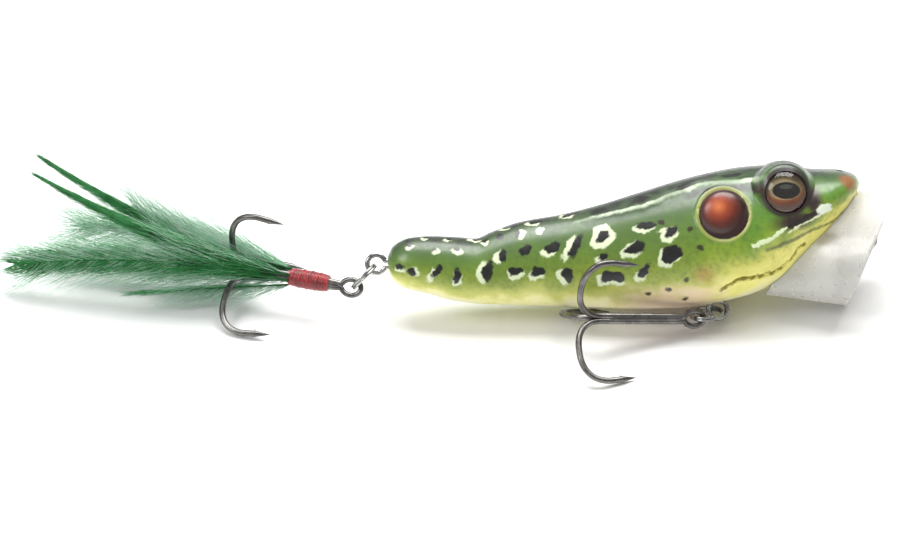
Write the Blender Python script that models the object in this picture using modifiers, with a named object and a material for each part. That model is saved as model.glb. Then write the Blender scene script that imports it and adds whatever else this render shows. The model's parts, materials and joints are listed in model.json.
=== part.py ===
"""Topwater popper: a hollow frog-shaped lure lying on its flank, with a clear cup lip, two treble
hooks on split rings and a feather dressing. Metres, +Z up, nose along +X, tail along -X."""
import math

import bmesh
import bpy
from mathutils import Matrix, Vector

MM = 0.001

# How the lure lies: rolled about its length, nose a little down.
ROLL_DEG = 37.0
PITCH_DEG = 1.2

# Body shell, in millimetres along the body from the tail end: (x, height or half-width).
BACK = [(0, 1.0), (0.6, 2.2), (1.8, 3.1), (3.2, 3.6), (6.2, 3.85), (10.4, 3.7), (12.8, 3.5),
        (15.0, 4.4), (19.4, 5.95), (25.3, 7.0), (31.2, 8.5), (37.0, 10.3), (45.9, 12.9),
        (52.5, 14.1), (58.0, 14.4), (62.0, 13.8), (65.6, 13.7), (67.6, 13.3), (68.7, 12.8), (69.2, 12.0)]
BELLY = [(0, -1.0), (0.6, -2.6), (1.8, -3.6), (3.2, -4.1), (6.2, -4.8), (9.1, -5.6), (13.5, -6.15),
         (25.3, -6.5), (37.0, -6.9), (42.9, -6.75), (45.9, -6.4), (52.5, -5.0), (57.3, -2.8),
         (61.4, 1.2), (65.6, 5.4), (67.6, 7.9), (68.7, 9.7), (69.2, 11.0)]
WIDTH = [(0, 1.0), (0.6, 2.1), (1.8, 3.0), (3.2, 3.5), (9.1, 4.3), (16.5, 4.9), (25.3, 5.5),
         (37.0, 7.0), (45.9, 8.4), (54.0, 9.0), (60.0, 8.9), (64.0, 8.2), (67.0, 6.6),
         (68.7, 4.2), (69.2, 2.2)]
BODY_LENGTH = 69.2
SECTION_POWER = 2.0
STATIONS = 34
SIDES = 32
WALL = 1.3
GAP = 0.3
CHAMBERS = [(1.6, 19.0), (20.2, 29.4), (30.6, 44.0), (45.2, 66.3)]

SPLIT_BOX = (100, 20, 60)

# Eyes and ear drums, on both flanks.
EYE_BUMP = (57.9, 5.4, 10.25)
EYE_BUMP_RADIUS = 4.7
EYE_RADIUS = 3.1
IRIS_DISTANCE, IRIS_THICKNESS = 2.8, 0.25
LENS_EDGE, LENS_CROWN = 0.3, 1.15
SOCKET_BEHIND_IRIS, SOCKET_LENGTH = 0.4, 4.0
EYE_AXIS = Vector((0.08, 0.99, 0.0)).normalized()
DRUM = (49.1, 7.5, 7.0)
DRUM_RADIUS, DRUM_HEIGHT = 3.7, 1.9

# Cup lip: its root inside the head and its rim, each as (x, z) of the bottom and the top.
ROOT_BOTTOM, ROOT_TOP, ROOT_HALF_WIDTH = (55.5, -4.8), (64.0, 9.5), 3.5
RIM_BOTTOM, RIM_TOP, RIM_HALF_WIDTH = (67.2, -6.4), (74.6, 11.5), 8.5
FLARE_POWER = 1.3
RIM_WALL = 0.8
BOWL_DEPTH, BOWL_OUT = 4.6, 0.1

# Wire eyes moulded into the body: tail, belly and line tie.
WIRE_RADIUS = 0.38
EYE_LOOP_RADIUS = 1.35
LEG_HALF_SPACING = 0.43
LEG_FLARE = 1.1
TAIL_LEG, BELLY_LEG, LINE_LEG = 5.0, 4.0, 8.5
TAIL_EYE = (-1.7, -0.3)
BELLY_EYE = (48.5, -6.95)
LINE_TIE = (70.3, 3.3)

# Split rings: two coils of round wire.
RING_RADIUS = 2.35
RING_WIRE = 0.2
RING_PITCH = 0.43

# Treble hooks, size 4: shank along +X from the eye's hole.
HOOK_WIRE = 0.47
HOOK_EYE_LENGTH, HOOK_EYE_WIDTH = 1.5, 1.15
HOOK_EYE_CENTRE = 0.25
SHANK_RADIUS = 0.9
SHANK_END = 14.5
BEND_START, BEND_END = 14.4, 18.5
BEND_POWER = 2.4
ARM_ROOT = 0.3
HOOK_REACH, POINT_REACH = 10.0, 9.5
POINT_AT = 10.3

# Directions in world axes: ring from the wire eye to the hook, wire tangent, hook shank.
TAIL_RING_SLOPE_DEG = 45.0
TAIL_SHANK = Vector((-18.3, 6.0, -0.2)).normalized()
BELLY_RING_DIRECTION = Vector((-0.71, -0.68, 0.17)).normalized()
BELLY_RING_TANGENT = Vector((0.694, -0.669, 0.265))
BELLY_SHANK = Vector((-18.7, -4.1, 3.6)).normalized()
TAIL_ARMS_DEG = (-30.5, -150.5, 89.5)
BELLY_ARMS_DEG = (-29.5, -149.5, 90.5)

# Feather dressing, along the tail hook's shank from its eye.
THREAD_START, THREAD_END, THREAD_RADIUS = 3.6, 9.8, 1.45
THREAD_TURNS, THREAD_GROOVE, THREAD_SWELL = 9, 0.12, 0.16
FEATHER_ROOT, FEATHER_ROOT_RADIUS, FEATHER_THICKNESS = 10.1, 1.55, 0.3
FEATHER_SHARES = (0.22, 0.3, 0.55, 0.8, 1.0, 1.0, 0.85, 0.55, 0.15)

# Weights: (radius, length, place of the middle), and the rattle balls' places.
TAIL_WEIGHT = (2.1, 8.5, (13.5, 0, -1.6))
BELLY_WEIGHT = (2.6, 8.0, (24.8, 0, -1.4))
BALL_RADIUS = 2.0
BALLS = {"rattle_ball_rear": (35.0, 1.2, -2.4), "rattle_ball_front": (41.6, 1.2, -2.4)}

COLOURS = {
    "green_flank": ((0.09, 0.20, 0.03, 1), 0.18, 0.0), "clear_lip": ((0.8, 0.8, 0.78, 1), 0.25, 0.0),
    "iris_gold": ((0.55, 0.28, 0.08, 1), 0.3, 0.4), "eye_lens": ((0.9, 0.88, 0.8, 1), 0.05, 0.0),
    "wire_steel": ((0.45, 0.45, 0.44, 1), 0.3, 1.0), "hook_nickel": ((0.07, 0.07, 0.07, 1), 0.35, 1.0),
    "ballast_steel": ((0.5, 0.5, 0.5, 1), 0.4, 1.0), "red_thread": ((0.45, 0.01, 0.02, 1), 0.6, 0.0),
    "green_feather": ((0.01, 0.16, 0.06, 1), 0.8, 0.0), "mint_plume": ((0.35, 0.7, 0.5, 1), 0.9, 0.0),
}


def clear_scene():
    for thing in list(bpy.data.objects):
        bpy.data.objects.remove(thing, do_unlink=True)


def new_collection(name):
    collection = bpy.data.collections.new(name)
    bpy.context.scene.collection.children.link(collection)
    return collection


def material(name):
    """One Principled material for each entry of COLOURS."""
    found = bpy.data.materials.get(name)
    if found:
        return found
    colour, roughness, metallic = COLOURS[name]
    made = bpy.data.materials.new(name)
    made.use_nodes = True
    shader = made.node_tree.nodes["Principled BSDF"]
    shader.inputs["Base Color"].default_value = colour
    shader.inputs["Roughness"].default_value = roughness
    shader.inputs["Metallic"].default_value = metallic
    return made


def add_object(name, data, parent, finish=None, cutter=False):
    """Link an object under its parent empty; cutters go to their own collection."""
    thing = bpy.data.objects.new(name, data)
    (CUTTERS if cutter else PARTS).objects.link(thing)
    thing.parent = parent
    if finish:
        data.materials.append(material(finish))
    if cutter:
        thing.hide_render = True
        thing.display_type = "WIRE"
    return thing


def add_empty(name, parent, matrix):
    empty = bpy.data.objects.new(name, None)
    PARTS.objects.link(empty)
    empty.parent = parent
    empty.matrix_local = matrix
    return empty


def mesh_from(name, build):
    """A mesh made by build(bm), with its faces turned outwards and shaded smooth."""
    bm = bmesh.new()
    build(bm)
    bmesh.ops.recalc_face_normals(bm, faces=bm.faces)
    mesh = bpy.data.meshes.new(name)
    bm.to_mesh(mesh)
    bm.free()
    mesh.shade_smooth()
    mesh.set_sharp_from_angle(angle=math.radians(40))
    return mesh


def curve_data(name, points, radius, sides_level=2, radii=None):
    """A round wire along points, in millimetres, with filled ends."""
    data = bpy.data.curves.new(name, "CURVE")
    data.dimensions = "3D"
    data.bevel_depth = radius * MM
    data.bevel_resolution = sides_level
    data.use_fill_caps = True
    data.render_resolution_u = 0
    spline = data.splines.new("POLY")
    spline.points.add(len(points) - 1)
    for index, point in enumerate(points):
        spline.points[index].co = (*(Vector(point) * MM), 1)
        spline.points[index].radius = radii[index] if radii else 1.0
    return data


def curve_mesh(name, points, radius, radii=None):
    """The same wire as a welded mesh, ready for a Boolean."""
    thing = bpy.data.objects.new(name, curve_data(name, points, radius, 2, radii))
    bpy.context.scene.collection.objects.link(thing)
    graph = bpy.context.evaluated_depsgraph_get()
    mesh = bpy.data.meshes.new_from_object(thing.evaluated_get(graph))
    bpy.data.objects.remove(thing)
    bm = bmesh.new()
    bm.from_mesh(mesh)
    bmesh.ops.remove_doubles(bm, verts=bm.verts, dist=0.000002)
    bmesh.ops.recalc_face_normals(bm, faces=bm.faces)
    bm.to_mesh(mesh)
    bm.free()
    return mesh


def boolean(thing, cutter, operation="DIFFERENCE"):
    modifier = thing.modifiers.new(operation.lower(), "BOOLEAN")
    modifier.object = cutter
    modifier.operation = operation
    return modifier


def loft(bm, rings):
    """Skin closed rings of points, in millimetres, and cap both ends."""
    rows = [[bm.verts.new(Vector(point) * MM) for point in ring] for ring in rings]
    for row, following in zip(rows, rows[1:]):
        for index in range(len(row)):
            after = (index + 1) % len(row)
            bm.faces.new((row[index], row[after], following[after], following[index]))
    bm.faces.new(rows[0])
    bm.faces.new(list(reversed(rows[-1])))


def smooth_line(points, x):
    """A height on a smooth line through points, without overshoot (monotone cubic)."""
    xs = [p[0] for p in points]
    ys = [p[1] for p in points]
    x = min(max(x, xs[0]), xs[-1])
    step = max(i for i in range(len(xs) - 1) if xs[i] <= x)
    slopes = [(b[1] - a[1]) / (b[0] - a[0]) for a, b in zip(points, points[1:])]

    def tangent(i):
        if i == 0 or i == len(xs) - 1:
            return slopes[0] if i == 0 else slopes[-1]
        before, after = slopes[i - 1], slopes[i]
        return 0.0 if before * after <= 0 else 2 * before * after / (before + after)

    width = xs[step + 1] - xs[step]
    t = (x - xs[step]) / width
    m0, m1 = tangent(step) * width, tangent(step + 1) * width
    return ((2 * t**3 - 3 * t**2 + 1) * ys[step] + (t**3 - 2 * t**2 + t) * m0
            + (3 * t**2 - 2 * t**3) * ys[step + 1] + (t**3 - t**2) * m1)


def body_ring(x, inset):
    """One cross-section of the body, shrunk by inset all round."""
    top, bottom = smooth_line(BACK, x) - inset, smooth_line(BELLY, x) + inset
    half_width = max(smooth_line(WIDTH, x) - inset, 0.3)
    middle, half_height = (top + bottom) / 2, max((top - bottom) / 2, 0.3)
    ring = []
    for side in range(SIDES):
        angle = 2 * math.pi * (side + 0.5) / SIDES
        c, s = math.cos(angle), math.sin(angle)
        y = math.copysign(abs(c) ** (2 / SECTION_POWER), c) * half_width
        z = math.copysign(abs(s) ** (2 / SECTION_POWER), s) * half_height
        ring.append((x, y, middle + z))
    return ring


def body_mesh(name, start, end, inset, stations):
    """The body between two places along its length, closer stations near both ends."""
    def build(bm):
        rings = []
        for index in range(stations + 1):
            share = 0.5 - 0.5 * math.cos(math.pi * index / stations)
            share = 0.6 * share + 0.4 * index / stations
            rings.append(body_ring(start + (end - start) * share, inset))
        loft(bm, rings)
    return mesh_from(name, build)


def ellipsoid_mesh(name, radii, segments=20):
    def build(bm):
        bmesh.ops.create_uvsphere(bm, u_segments=segments, v_segments=segments // 2, radius=MM)
        bmesh.ops.scale(bm, vec=radii, verts=bm.verts)
    return mesh_from(name, build)


def cylinder_mesh(name, radius, length, segments=16):
    """A cylinder along Z, centred."""
    def build(bm):
        bmesh.ops.create_cone(bm, cap_ends=True, segments=segments, radius1=radius * MM,
                              radius2=radius * MM, depth=length * MM)
    return mesh_from(name, build)


def box_mesh(name, size):
    def build(bm):
        bmesh.ops.create_cube(bm, size=MM)
        bmesh.ops.scale(bm, vec=size, verts=bm.verts)
    return mesh_from(name, build)


def frame_matrix(origin, x_axis, y_axis):
    """A right-handed frame from an x axis and a y axis near enough square to it."""
    x = Vector(x_axis).normalized()
    z = x.cross(Vector(y_axis)).normalized()
    y = z.cross(x)
    matrix = Matrix((x, y, z)).transposed().to_4x4()
    matrix.translation = origin
    return matrix


def turned(name, profile, parent, finish, segments=24):
    """A solid of revolution about Z; the profile runs from the top of its axis to the bottom."""
    mesh = bpy.data.meshes.new(name)
    points = [(r * MM, 0, z * MM) for r, z in profile]
    mesh.from_pydata(points, [(i, i + 1) for i in range(len(points) - 1)], [])
    thing = add_object(name, mesh, parent, finish)
    screw = thing.modifiers.new("turn", "SCREW")
    screw.steps = segments
    screw.render_steps = segments
    screw.use_merge_vertices = True
    screw.merge_threshold = 0.00001
    screw.use_smooth_shade = True
    return thing


# ---------------------------------------------------------------- body shells

def wire_hole(name, centre, direction, length, lure):
    """A round passage for the two legs of a wire eye."""
    cutter = add_object(name, cylinder_mesh(name, LEG_HALF_SPACING + WIRE_RADIUS + GAP, length),
                        lure, cutter=True)
    turn = Vector((0, 0, 1)).rotation_difference(Vector(direction)).to_matrix().to_4x4()
    turn.translation = Vector(centre) * MM
    cutter.matrix_local = turn
    return cutter


def side_axis(side):
    return Vector((EYE_AXIS.x, side * EYE_AXIS.y, EYE_AXIS.z))


def eye_place(side, distance):
    """A frame on the eye's axis, Z outwards, at a distance from the bump's centre."""
    centre = Vector((EYE_BUMP[0], side * EYE_BUMP[1], EYE_BUMP[2])) + side_axis(side) * distance
    turn = Vector((0, 0, 1)).rotation_difference(side_axis(side)).to_matrix().to_4x4()
    turn.translation = centre * MM
    return turn


def shell(name, side, lure, holes):
    """One half of the moulded body: bump and ear drum outside, three bulkheads inside."""
    thing = add_object(name, body_mesh(name, 0.0, BODY_LENGTH, 0.0, STATIONS), lure, "green_flank")
    bump = add_object(name + "_bump", ellipsoid_mesh("bump", (EYE_BUMP_RADIUS,) * 3), lure,
                      cutter=True)
    bump.location = Vector((EYE_BUMP[0], side * EYE_BUMP[1], EYE_BUMP[2])) * MM
    boolean(thing, bump, "UNION")
    drum = add_object(name + "_drum", ellipsoid_mesh("drum", (DRUM_RADIUS, DRUM_HEIGHT, DRUM_RADIUS)),
                      lure, cutter=True)
    drum.location = Vector((DRUM[0], side * DRUM[1], DRUM[2])) * MM
    boolean(thing, drum, "UNION")
    for index, (start, end) in enumerate(CHAMBERS):
        hollow = add_object(f"{name}_chamber_{index}",
                            body_mesh("chamber", start, end, WALL, 10), lure, cutter=True)
        boolean(thing, hollow)
    socket = add_object(name + "_socket", cylinder_mesh("socket", EYE_RADIUS + GAP, SOCKET_LENGTH, 24),
                        lure, cutter=True)
    socket.matrix_local = eye_place(side, IRIS_DISTANCE - SOCKET_BEHIND_IRIS + SOCKET_LENGTH / 2)
    boolean(thing, socket)
    for hole in holes:
        boolean(thing, hole)
    other_half = add_object(name + "_split", box_mesh("split", SPLIT_BOX), lure, cutter=True)
    other_half.location = Vector((BODY_LENGTH / 2, side * (GAP / 2 - SPLIT_BOX[1] / 2), 0)) * MM
    boolean(thing, other_half)
    return thing


def eyes(side, label, lure):
    """The printed iris disc and the resin lens over it."""
    disc = add_object("iris_" + label, cylinder_mesh("iris", EYE_RADIUS, IRIS_THICKNESS, 28),
                      lure, "iris_gold")
    disc.matrix_local = eye_place(side, IRIS_DISTANCE)
    dome = [(EYE_RADIUS * math.sin(a), LENS_EDGE + LENS_CROWN * math.cos(a))
            for a in (math.pi / 2 * i / 7 for i in range(8))]
    lens = turned("eye_lens_" + label, dome + [(EYE_RADIUS, 0.0), (0.0, 0.0)], lure, "eye_lens", 28)
    lens.matrix_local = eye_place(side, IRIS_DISTANCE + IRIS_THICKNESS / 2 + GAP)


# ---------------------------------------------------------------- cup lip

def tilted_ring(bottom, top, half_width, sides=36):
    """An ellipse across the lure, between a bottom and a top point of the middle plane."""
    bottom, top = Vector((bottom[0], 0, bottom[1])), Vector((top[0], 0, top[1]))
    middle, half = (bottom + top) / 2, (top - bottom) / 2
    return [middle + half * math.sin(a) + Vector((0, half_width * math.cos(a), 0))
            for a in (2 * math.pi * (i + 0.5) / sides for i in range(sides))]


def skirt_ring(share):
    """A section of the cup's skirt, from its root (0) to its rim (1), flaring ever faster."""
    half_width = ROOT_HALF_WIDTH + (RIM_HALF_WIDTH - ROOT_HALF_WIDTH) * share**FLARE_POWER
    return tilted_ring(Vector(ROOT_BOTTOM).lerp(Vector(RIM_BOTTOM), share),
                       Vector(ROOT_TOP).lerp(Vector(RIM_TOP), share), half_width)


def cup_lip(lure, line_hole):
    """The clear cup: a flared skirt in front of the face, hollowed by a bowl."""
    steps = 7
    rings = [skirt_ring(i / steps) for i in range(steps + 1)]
    thing = add_object("cup_lip", mesh_from("cup_lip", lambda bm: loft(bm, rings)), lure, "clear_lip")
    face = add_object("lip_face", body_mesh("lip_face", 0.0, BODY_LENGTH + GAP, -GAP, STATIONS),
                      lure, cutter=True)
    boolean(thing, face)
    up = Vector((RIM_TOP[0] - RIM_BOTTOM[0], 0, RIM_TOP[1] - RIM_BOTTOM[1]))
    half_height = up.length / 2
    radii = (BOWL_DEPTH, RIM_HALF_WIDTH - RIM_WALL, half_height - RIM_WALL)
    bowl = add_object("lip_bowl", ellipsoid_mesh("lip_bowl", radii, 32), lure, cutter=True)
    centre = Vector((RIM_TOP[0] + RIM_BOTTOM[0], 0, RIM_TOP[1] + RIM_BOTTOM[1])) / 2
    outwards = Vector((up.z, 0, -up.x)).normalized()
    bowl.matrix_local = frame_matrix((centre + outwards * BOWL_OUT) * MM, outwards, (0, 1, 0))
    boolean(thing, bowl)
    boolean(thing, line_hole)
    return thing


# ---------------------------------------------------------------- wires, rings and hooks

def wire_eye(name, centre, outwards, leg, lure):
    """A staple of wire: a round loop outside the body and two legs that flare inside it."""
    outwards = Vector((outwards[0], 0, outwards[1])).normalized()
    across = Vector((outwards.z, 0, -outwards.x))
    middle = Vector((centre[0], 0, centre[1]))
    mouth = math.asin(LEG_HALF_SPACING / EYE_LOOP_RADIUS)
    turns = 20
    points = []
    for index in range(turns + 1):
        angle = math.pi + mouth + (2 * math.pi - 2 * mouth) * index / turns
        points.append(middle + outwards * math.cos(angle) * EYE_LOOP_RADIUS
                      + across * math.sin(angle) * EYE_LOOP_RADIUS)
    neck = EYE_LOOP_RADIUS * math.cos(mouth)
    ends = []
    for sign in (-1, 1):
        straight = middle - outwards * (neck + leg) + across * sign * LEG_HALF_SPACING
        ends.append([straight + (across * sign - outwards) * LEG_FLARE, straight])
    points = ends[0] + points + list(reversed(ends[1]))
    return add_object(name, curve_data(name, points, WIRE_RADIUS), lure, "wire_steel")


def split_ring(name, hinge):
    """Two coils of wire; X runs from the hinge to the ring's middle, Z is the ring's axis."""
    turns, steps = 2.0, 22
    count = int(turns * steps)
    points = []
    for index in range(count + 1):
        angle = math.pi / 2 + 2 * math.pi * index / steps
        height = RING_PITCH * (index / steps - turns / 2)
        points.append((RING_RADIUS + RING_RADIUS * math.cos(angle),
                       RING_RADIUS * math.sin(angle), height))
    return add_object(name, curve_data(name, points, RING_WIRE), hinge, "wire_steel")


def arm_points():
    """One hook arm in its own plane: (along the shank, out from it, wire scale)."""
    half_u, half_r = BEND_END - BEND_START, (HOOK_REACH - ARM_ROOT) / 2
    points = [(SHANK_END - 3.5, ARM_ROOT, 1.0)]
    steps = 14
    for index in range(steps + 1):
        angle = -math.pi / 2 + math.pi * index / steps
        c, s = math.cos(angle), math.sin(angle)
        points.append((BEND_START + half_u * abs(c) ** (2 / BEND_POWER),
                       ARM_ROOT + half_r * (1 + math.copysign(abs(s) ** (2 / BEND_POWER), s)), 1.0))
    for share, scale in ((0.55, 0.95), (1.0, 0.15)):
        points.append((BEND_START + (POINT_AT - BEND_START) * share,
                       HOOK_REACH + (POINT_REACH - HOOK_REACH) * share, scale))
    return points


def treble(name, hinge, arms_deg, eye_facing):
    """A treble hook: oval eye, round shank and three arms."""
    steps = 20
    x_axis = Vector((1, 0, 0))
    across = eye_facing.cross(x_axis).normalized()
    oval = [x_axis * (HOOK_EYE_CENTRE + HOOK_EYE_LENGTH * math.cos(a))
            + across * HOOK_EYE_WIDTH * math.sin(a)
            for a in (0.25 + (2 * math.pi - 0.5) * i / steps for i in range(steps + 1))]
    thing = add_object(name, curve_mesh(name, oval, HOOK_WIRE * 0.9), hinge, "hook_nickel")
    neck = HOOK_EYE_CENTRE + HOOK_EYE_LENGTH - 0.25
    length = SHANK_END - neck
    shank = add_object(name + "_shank", cylinder_mesh("shank", SHANK_RADIUS, length, 14),
                       hinge, cutter=True)
    shank.matrix_local = (Matrix.Translation(Vector((neck + length / 2, 0, 0)) * MM)
                          @ Matrix.Rotation(math.pi / 2, 4, "Y"))
    boolean(thing, shank, "UNION")
    for index, degrees in enumerate(arms_deg):
        angle = math.radians(degrees)
        points = [(u, r * math.cos(angle), r * math.sin(angle)) for u, r, scale in arm_points()]
        scales = [scale for u, r, scale in arm_points()]
        arm = add_object(f"{name}_arm_{index}", curve_mesh("arm", points, HOOK_WIRE, scales),
                         hinge, cutter=True)
        boolean(thing, arm, "UNION")
    return thing


def hinge_frames(lure, name, pivot, direction, tangent, shank, world_up):
    """Empties on a ring's hinge and on its hook's hinge, in the lure's own axes."""
    ring_frame = frame_matrix(pivot, direction, tangent)
    ring_hinge = add_empty(name + "_ring_hinge", lure, ring_frame)
    hook_at = Vector(pivot) + Vector(direction).normalized() * 2 * RING_RADIUS * MM
    z = (world_up - shank * world_up.dot(shank)).normalized()
    y = z.cross(shank)
    matrix = Matrix((shank, y, z)).transposed().to_4x4()
    matrix.translation = hook_at
    hook_hinge = add_empty(name + "_hook_hinge", ring_hinge, ring_frame.inverted() @ matrix)
    return ring_hinge, hook_hinge, matrix


def eye_normal(frame, tangent):
    """The hook eye's normal, square to the shank and as near the ring's wire as it can be."""
    normal = frame.to_3x3().inverted() @ tangent
    return Vector((0, normal.y, normal.z)).normalized()


# ---------------------------------------------------------------- dressing

def blade(name, hinge, spine, widths, thickness, flat_normal, finish):
    """A feather as a flat tapered solid along a spine of points."""
    spine = [Vector(p) for p in spine]
    rings = []
    for index, point in enumerate(spine):
        ahead = spine[min(index + 1, len(spine) - 1)] - spine[max(index - 1, 0)]
        side = flat_normal.cross(ahead).normalized()
        normal = ahead.cross(side).normalized()
        rings.append([point + side * widths[index] * math.cos(a) + normal * thickness * math.sin(a)
                      for a in (2 * math.pi * (i + 0.5) / 8 for i in range(8))])
    return add_object(name, mesh_from(name, lambda bm: loft(bm, rings)), hinge, finish)


def feather_spine(root, tip, sag, count):
    """Points from a root to a tip, bowed by sag at the middle."""
    root, tip, sag = Vector(root), Vector(tip), Vector(sag)
    shares = [i / (count - 1) for i in range(count)]
    return [root.lerp(tip, t) + sag * 4 * t * (1 - t) for t in shares]


FEATHERS = [
    # name, root angle about the shank, tip (x, y, z) from the hook hinge, bow, half-width, finish
    ("hackle_upper_near", 48, (48.1, 6.2, 15.3), (0, 0.7, 0.0), 0.9, "green_feather"),
    ("hackle_upper_far", 122, (49.4, 2.3, 15.5), (0, -0.9, 0.2), 0.9, "green_feather"),
    ("hackle_middle", 8, (51.3, 7.3, -1.2), (0, 0.8, 1.4), 1.6, "green_feather"),
    ("hackle_lower", 290, (32.6, 6.4, -4.2), (0, -0.9, -0.7), 0.8, "green_feather"),
    ("plume_upper", 165, (43.7, 0.3, 3.6), (0, -1.2, 1.2), 2.2, "mint_plume"),
    ("plume_lower", 246, (38.0, 2.1, -3.4), (0, -0.2, -0.2), 0.8, "mint_plume"),
]


def dressing(hinge):
    """Thread wrap and feathers on the tail hook."""
    ridges = []
    pitch = (THREAD_END - THREAD_START) / THREAD_TURNS
    for index in range(THREAD_TURNS):
        x = THREAD_START + pitch * index
        middle = math.sin(math.pi * (index + 0.5) / THREAD_TURNS)
        swell = THREAD_RADIUS * (1 - THREAD_SWELL + THREAD_SWELL * middle)
        ridges += [(swell - THREAD_GROOVE, x), (swell, x + pitch * 0.3), (swell, x + pitch * 0.7)]
    inner = SHANK_RADIUS + THREAD_GROOVE
    mesh = bpy.data.meshes.new("thread_wrap")
    outline = [(r, x) for r, x in reversed(ridges)]
    outline = [(inner, THREAD_END)] + outline + [(inner, THREAD_START)]
    points = [(r * MM, 0, x * MM) for r, x in outline]
    edges = [(i, (i + 1) % len(points)) for i in range(len(points))]
    mesh.from_pydata(points, edges, [])
    wrap = add_object("thread_wrap", mesh, hinge, "red_thread")
    screw = wrap.modifiers.new("turn", "SCREW")
    screw.steps = 18
    screw.render_steps = 18
    screw.use_merge_vertices = True
    screw.merge_threshold = 0.00001
    wrap.matrix_local = Matrix.Rotation(math.pi / 2, 4, "Y")
    for name, root_deg, tip, bow, half_width, finish in FEATHERS:
        angle = math.radians(root_deg)
        root = (FEATHER_ROOT, FEATHER_ROOT_RADIUS * math.cos(angle),
                FEATHER_ROOT_RADIUS * math.sin(angle))
        spine = feather_spine(root, tip, bow, len(FEATHER_SHARES))
        widths = [max(half_width * share, 0.25) for share in FEATHER_SHARES]
        blade(name, hinge, spine, widths, FEATHER_THICKNESS, Vector((0, 1, 0)), finish)


# ---------------------------------------------------------------- weights

def weights(lure):
    """Two fixed weights and two loose rattle balls in the chambers."""
    for name, (radius, length, place) in (("tail_weight", TAIL_WEIGHT), ("belly_weight", BELLY_WEIGHT)):
        weight = add_object(name, cylinder_mesh(name, radius, length, 20), lure, "ballast_steel")
        weight.matrix_local = (Matrix.Translation(Vector(place) * MM)
                               @ Matrix.Rotation(math.pi / 2, 4, "Y"))
    for name, place in BALLS.items():
        ball = add_object(name, ellipsoid_mesh(name, (BALL_RADIUS,) * 3, 16), lure, "ballast_steel")
        ball.location = Vector(place) * MM


# ---------------------------------------------------------------- assembly

def part_bounds():
    """Lowest and highest corners of every part in world axes."""
    graph = bpy.context.evaluated_depsgraph_get()
    low, high = Vector((1e9,) * 3), Vector((-1e9,) * 3)
    for thing in PARTS.objects:
        if thing.type == "EMPTY":
            continue
        evaluated = thing.evaluated_get(graph)
        mesh = evaluated.to_mesh()
        for vertex in mesh.vertices:
            corner = evaluated.matrix_world @ vertex.co
            low = Vector(map(min, low, corner))
            high = Vector(map(max, high, corner))
        evaluated.to_mesh_clear()
    return low, high


def build():
    lying = (Matrix.Rotation(math.radians(PITCH_DEG), 4, "Y")
             @ Matrix.Rotation(-math.radians(ROLL_DEG), 4, "X"))
    lure = add_empty("lure", None, lying)
    to_lure = lying.to_3x3().inverted()

    tail_hole = wire_hole("tail_hole", (0.0, 0, TAIL_EYE[1]), (1, 0, 0), 9.0, lure)
    belly_hole = wire_hole("belly_hole", (BELLY_EYE[0], 0, -6.0), (0, 0, 1), 6.0, lure)
    line_hole = wire_hole("line_hole", (66.0, 0, LINE_TIE[1]), (1, 0, 0), 16.0, lure)
    recess = add_object("belly_recess", cylinder_mesh("recess", EYE_LOOP_RADIUS + WIRE_RADIUS + GAP,
                                                      2 * (WIRE_RADIUS + GAP), 24), lure, cutter=True)
    recess.matrix_local = (Matrix.Translation(Vector((BELLY_EYE[0], 0, BELLY_EYE[1])) * MM)
                           @ Matrix.Rotation(math.pi / 2, 4, "X"))
    holes = (tail_hole, belly_hole, line_hole, recess)
    for name, side in (("shell_right", -1), ("shell_left", 1)):
        shell(name, side, lure, holes)
        eyes(side, name.split("_")[1], lure)
    cup_lip(lure, line_hole)
    wire_eye("tail_hanger", TAIL_EYE, (-1, 0), TAIL_LEG, lure)
    wire_eye("belly_hanger", BELLY_EYE, (0, -1), BELLY_LEG, lure)
    wire_eye("line_tie", LINE_TIE, (1, 0), LINE_LEG, lure)
    weights(lure)

    slope = math.radians(TAIL_RING_SLOPE_DEG)
    up = to_lure @ Vector((0, 0, 1))
    tail_pivot = Vector((TAIL_EYE[0] - 0.15, 0, TAIL_EYE[1] - 0.15)) * MM
    ring, hook, frame = hinge_frames(lure, "tail", tail_pivot,
                                     Vector((-math.cos(slope), 0, -math.sin(slope))),
                                     Vector((0, 1, 0)), to_lure @ TAIL_SHANK, up)
    split_ring("tail_ring", ring)
    treble("tail_treble", hook, TAIL_ARMS_DEG, eye_normal(frame, Vector((0, 1, 0))))
    dressing(hook)

    belly_pivot = Vector((BELLY_EYE[0], 0, BELLY_EYE[1])) * MM
    tangent = to_lure @ BELLY_RING_TANGENT
    ring, hook, frame = hinge_frames(lure, "belly", belly_pivot, to_lure @ BELLY_RING_DIRECTION,
                                     tangent, to_lure @ BELLY_SHANK, up)
    split_ring("belly_ring", ring)
    treble("belly_treble", hook, BELLY_ARMS_DEG, eye_normal(frame, tangent))

    bpy.context.view_layer.update()
    low, high = part_bounds()
    lure.location = (-(low.x + high.x) / 2, -(low.y + high.y) / 2, -low.z)
    bpy.context.view_layer.update()


clear_scene()
PARTS = new_collection("topwater_popper")
CUTTERS = new_collection("cutters")
build()
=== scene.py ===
"""Looks of a frog-pattern topwater popper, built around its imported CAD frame.

The lure's own axes are used for its body: millimetres, x from the tail end to the nose, y to its
left, z to its back. Each hook has its own axes too: x along the shank, from the eye to the bends.
"""
import json
import math

import bmesh
import bpy
import numpy as np
from mathutils import Matrix, Vector


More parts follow.
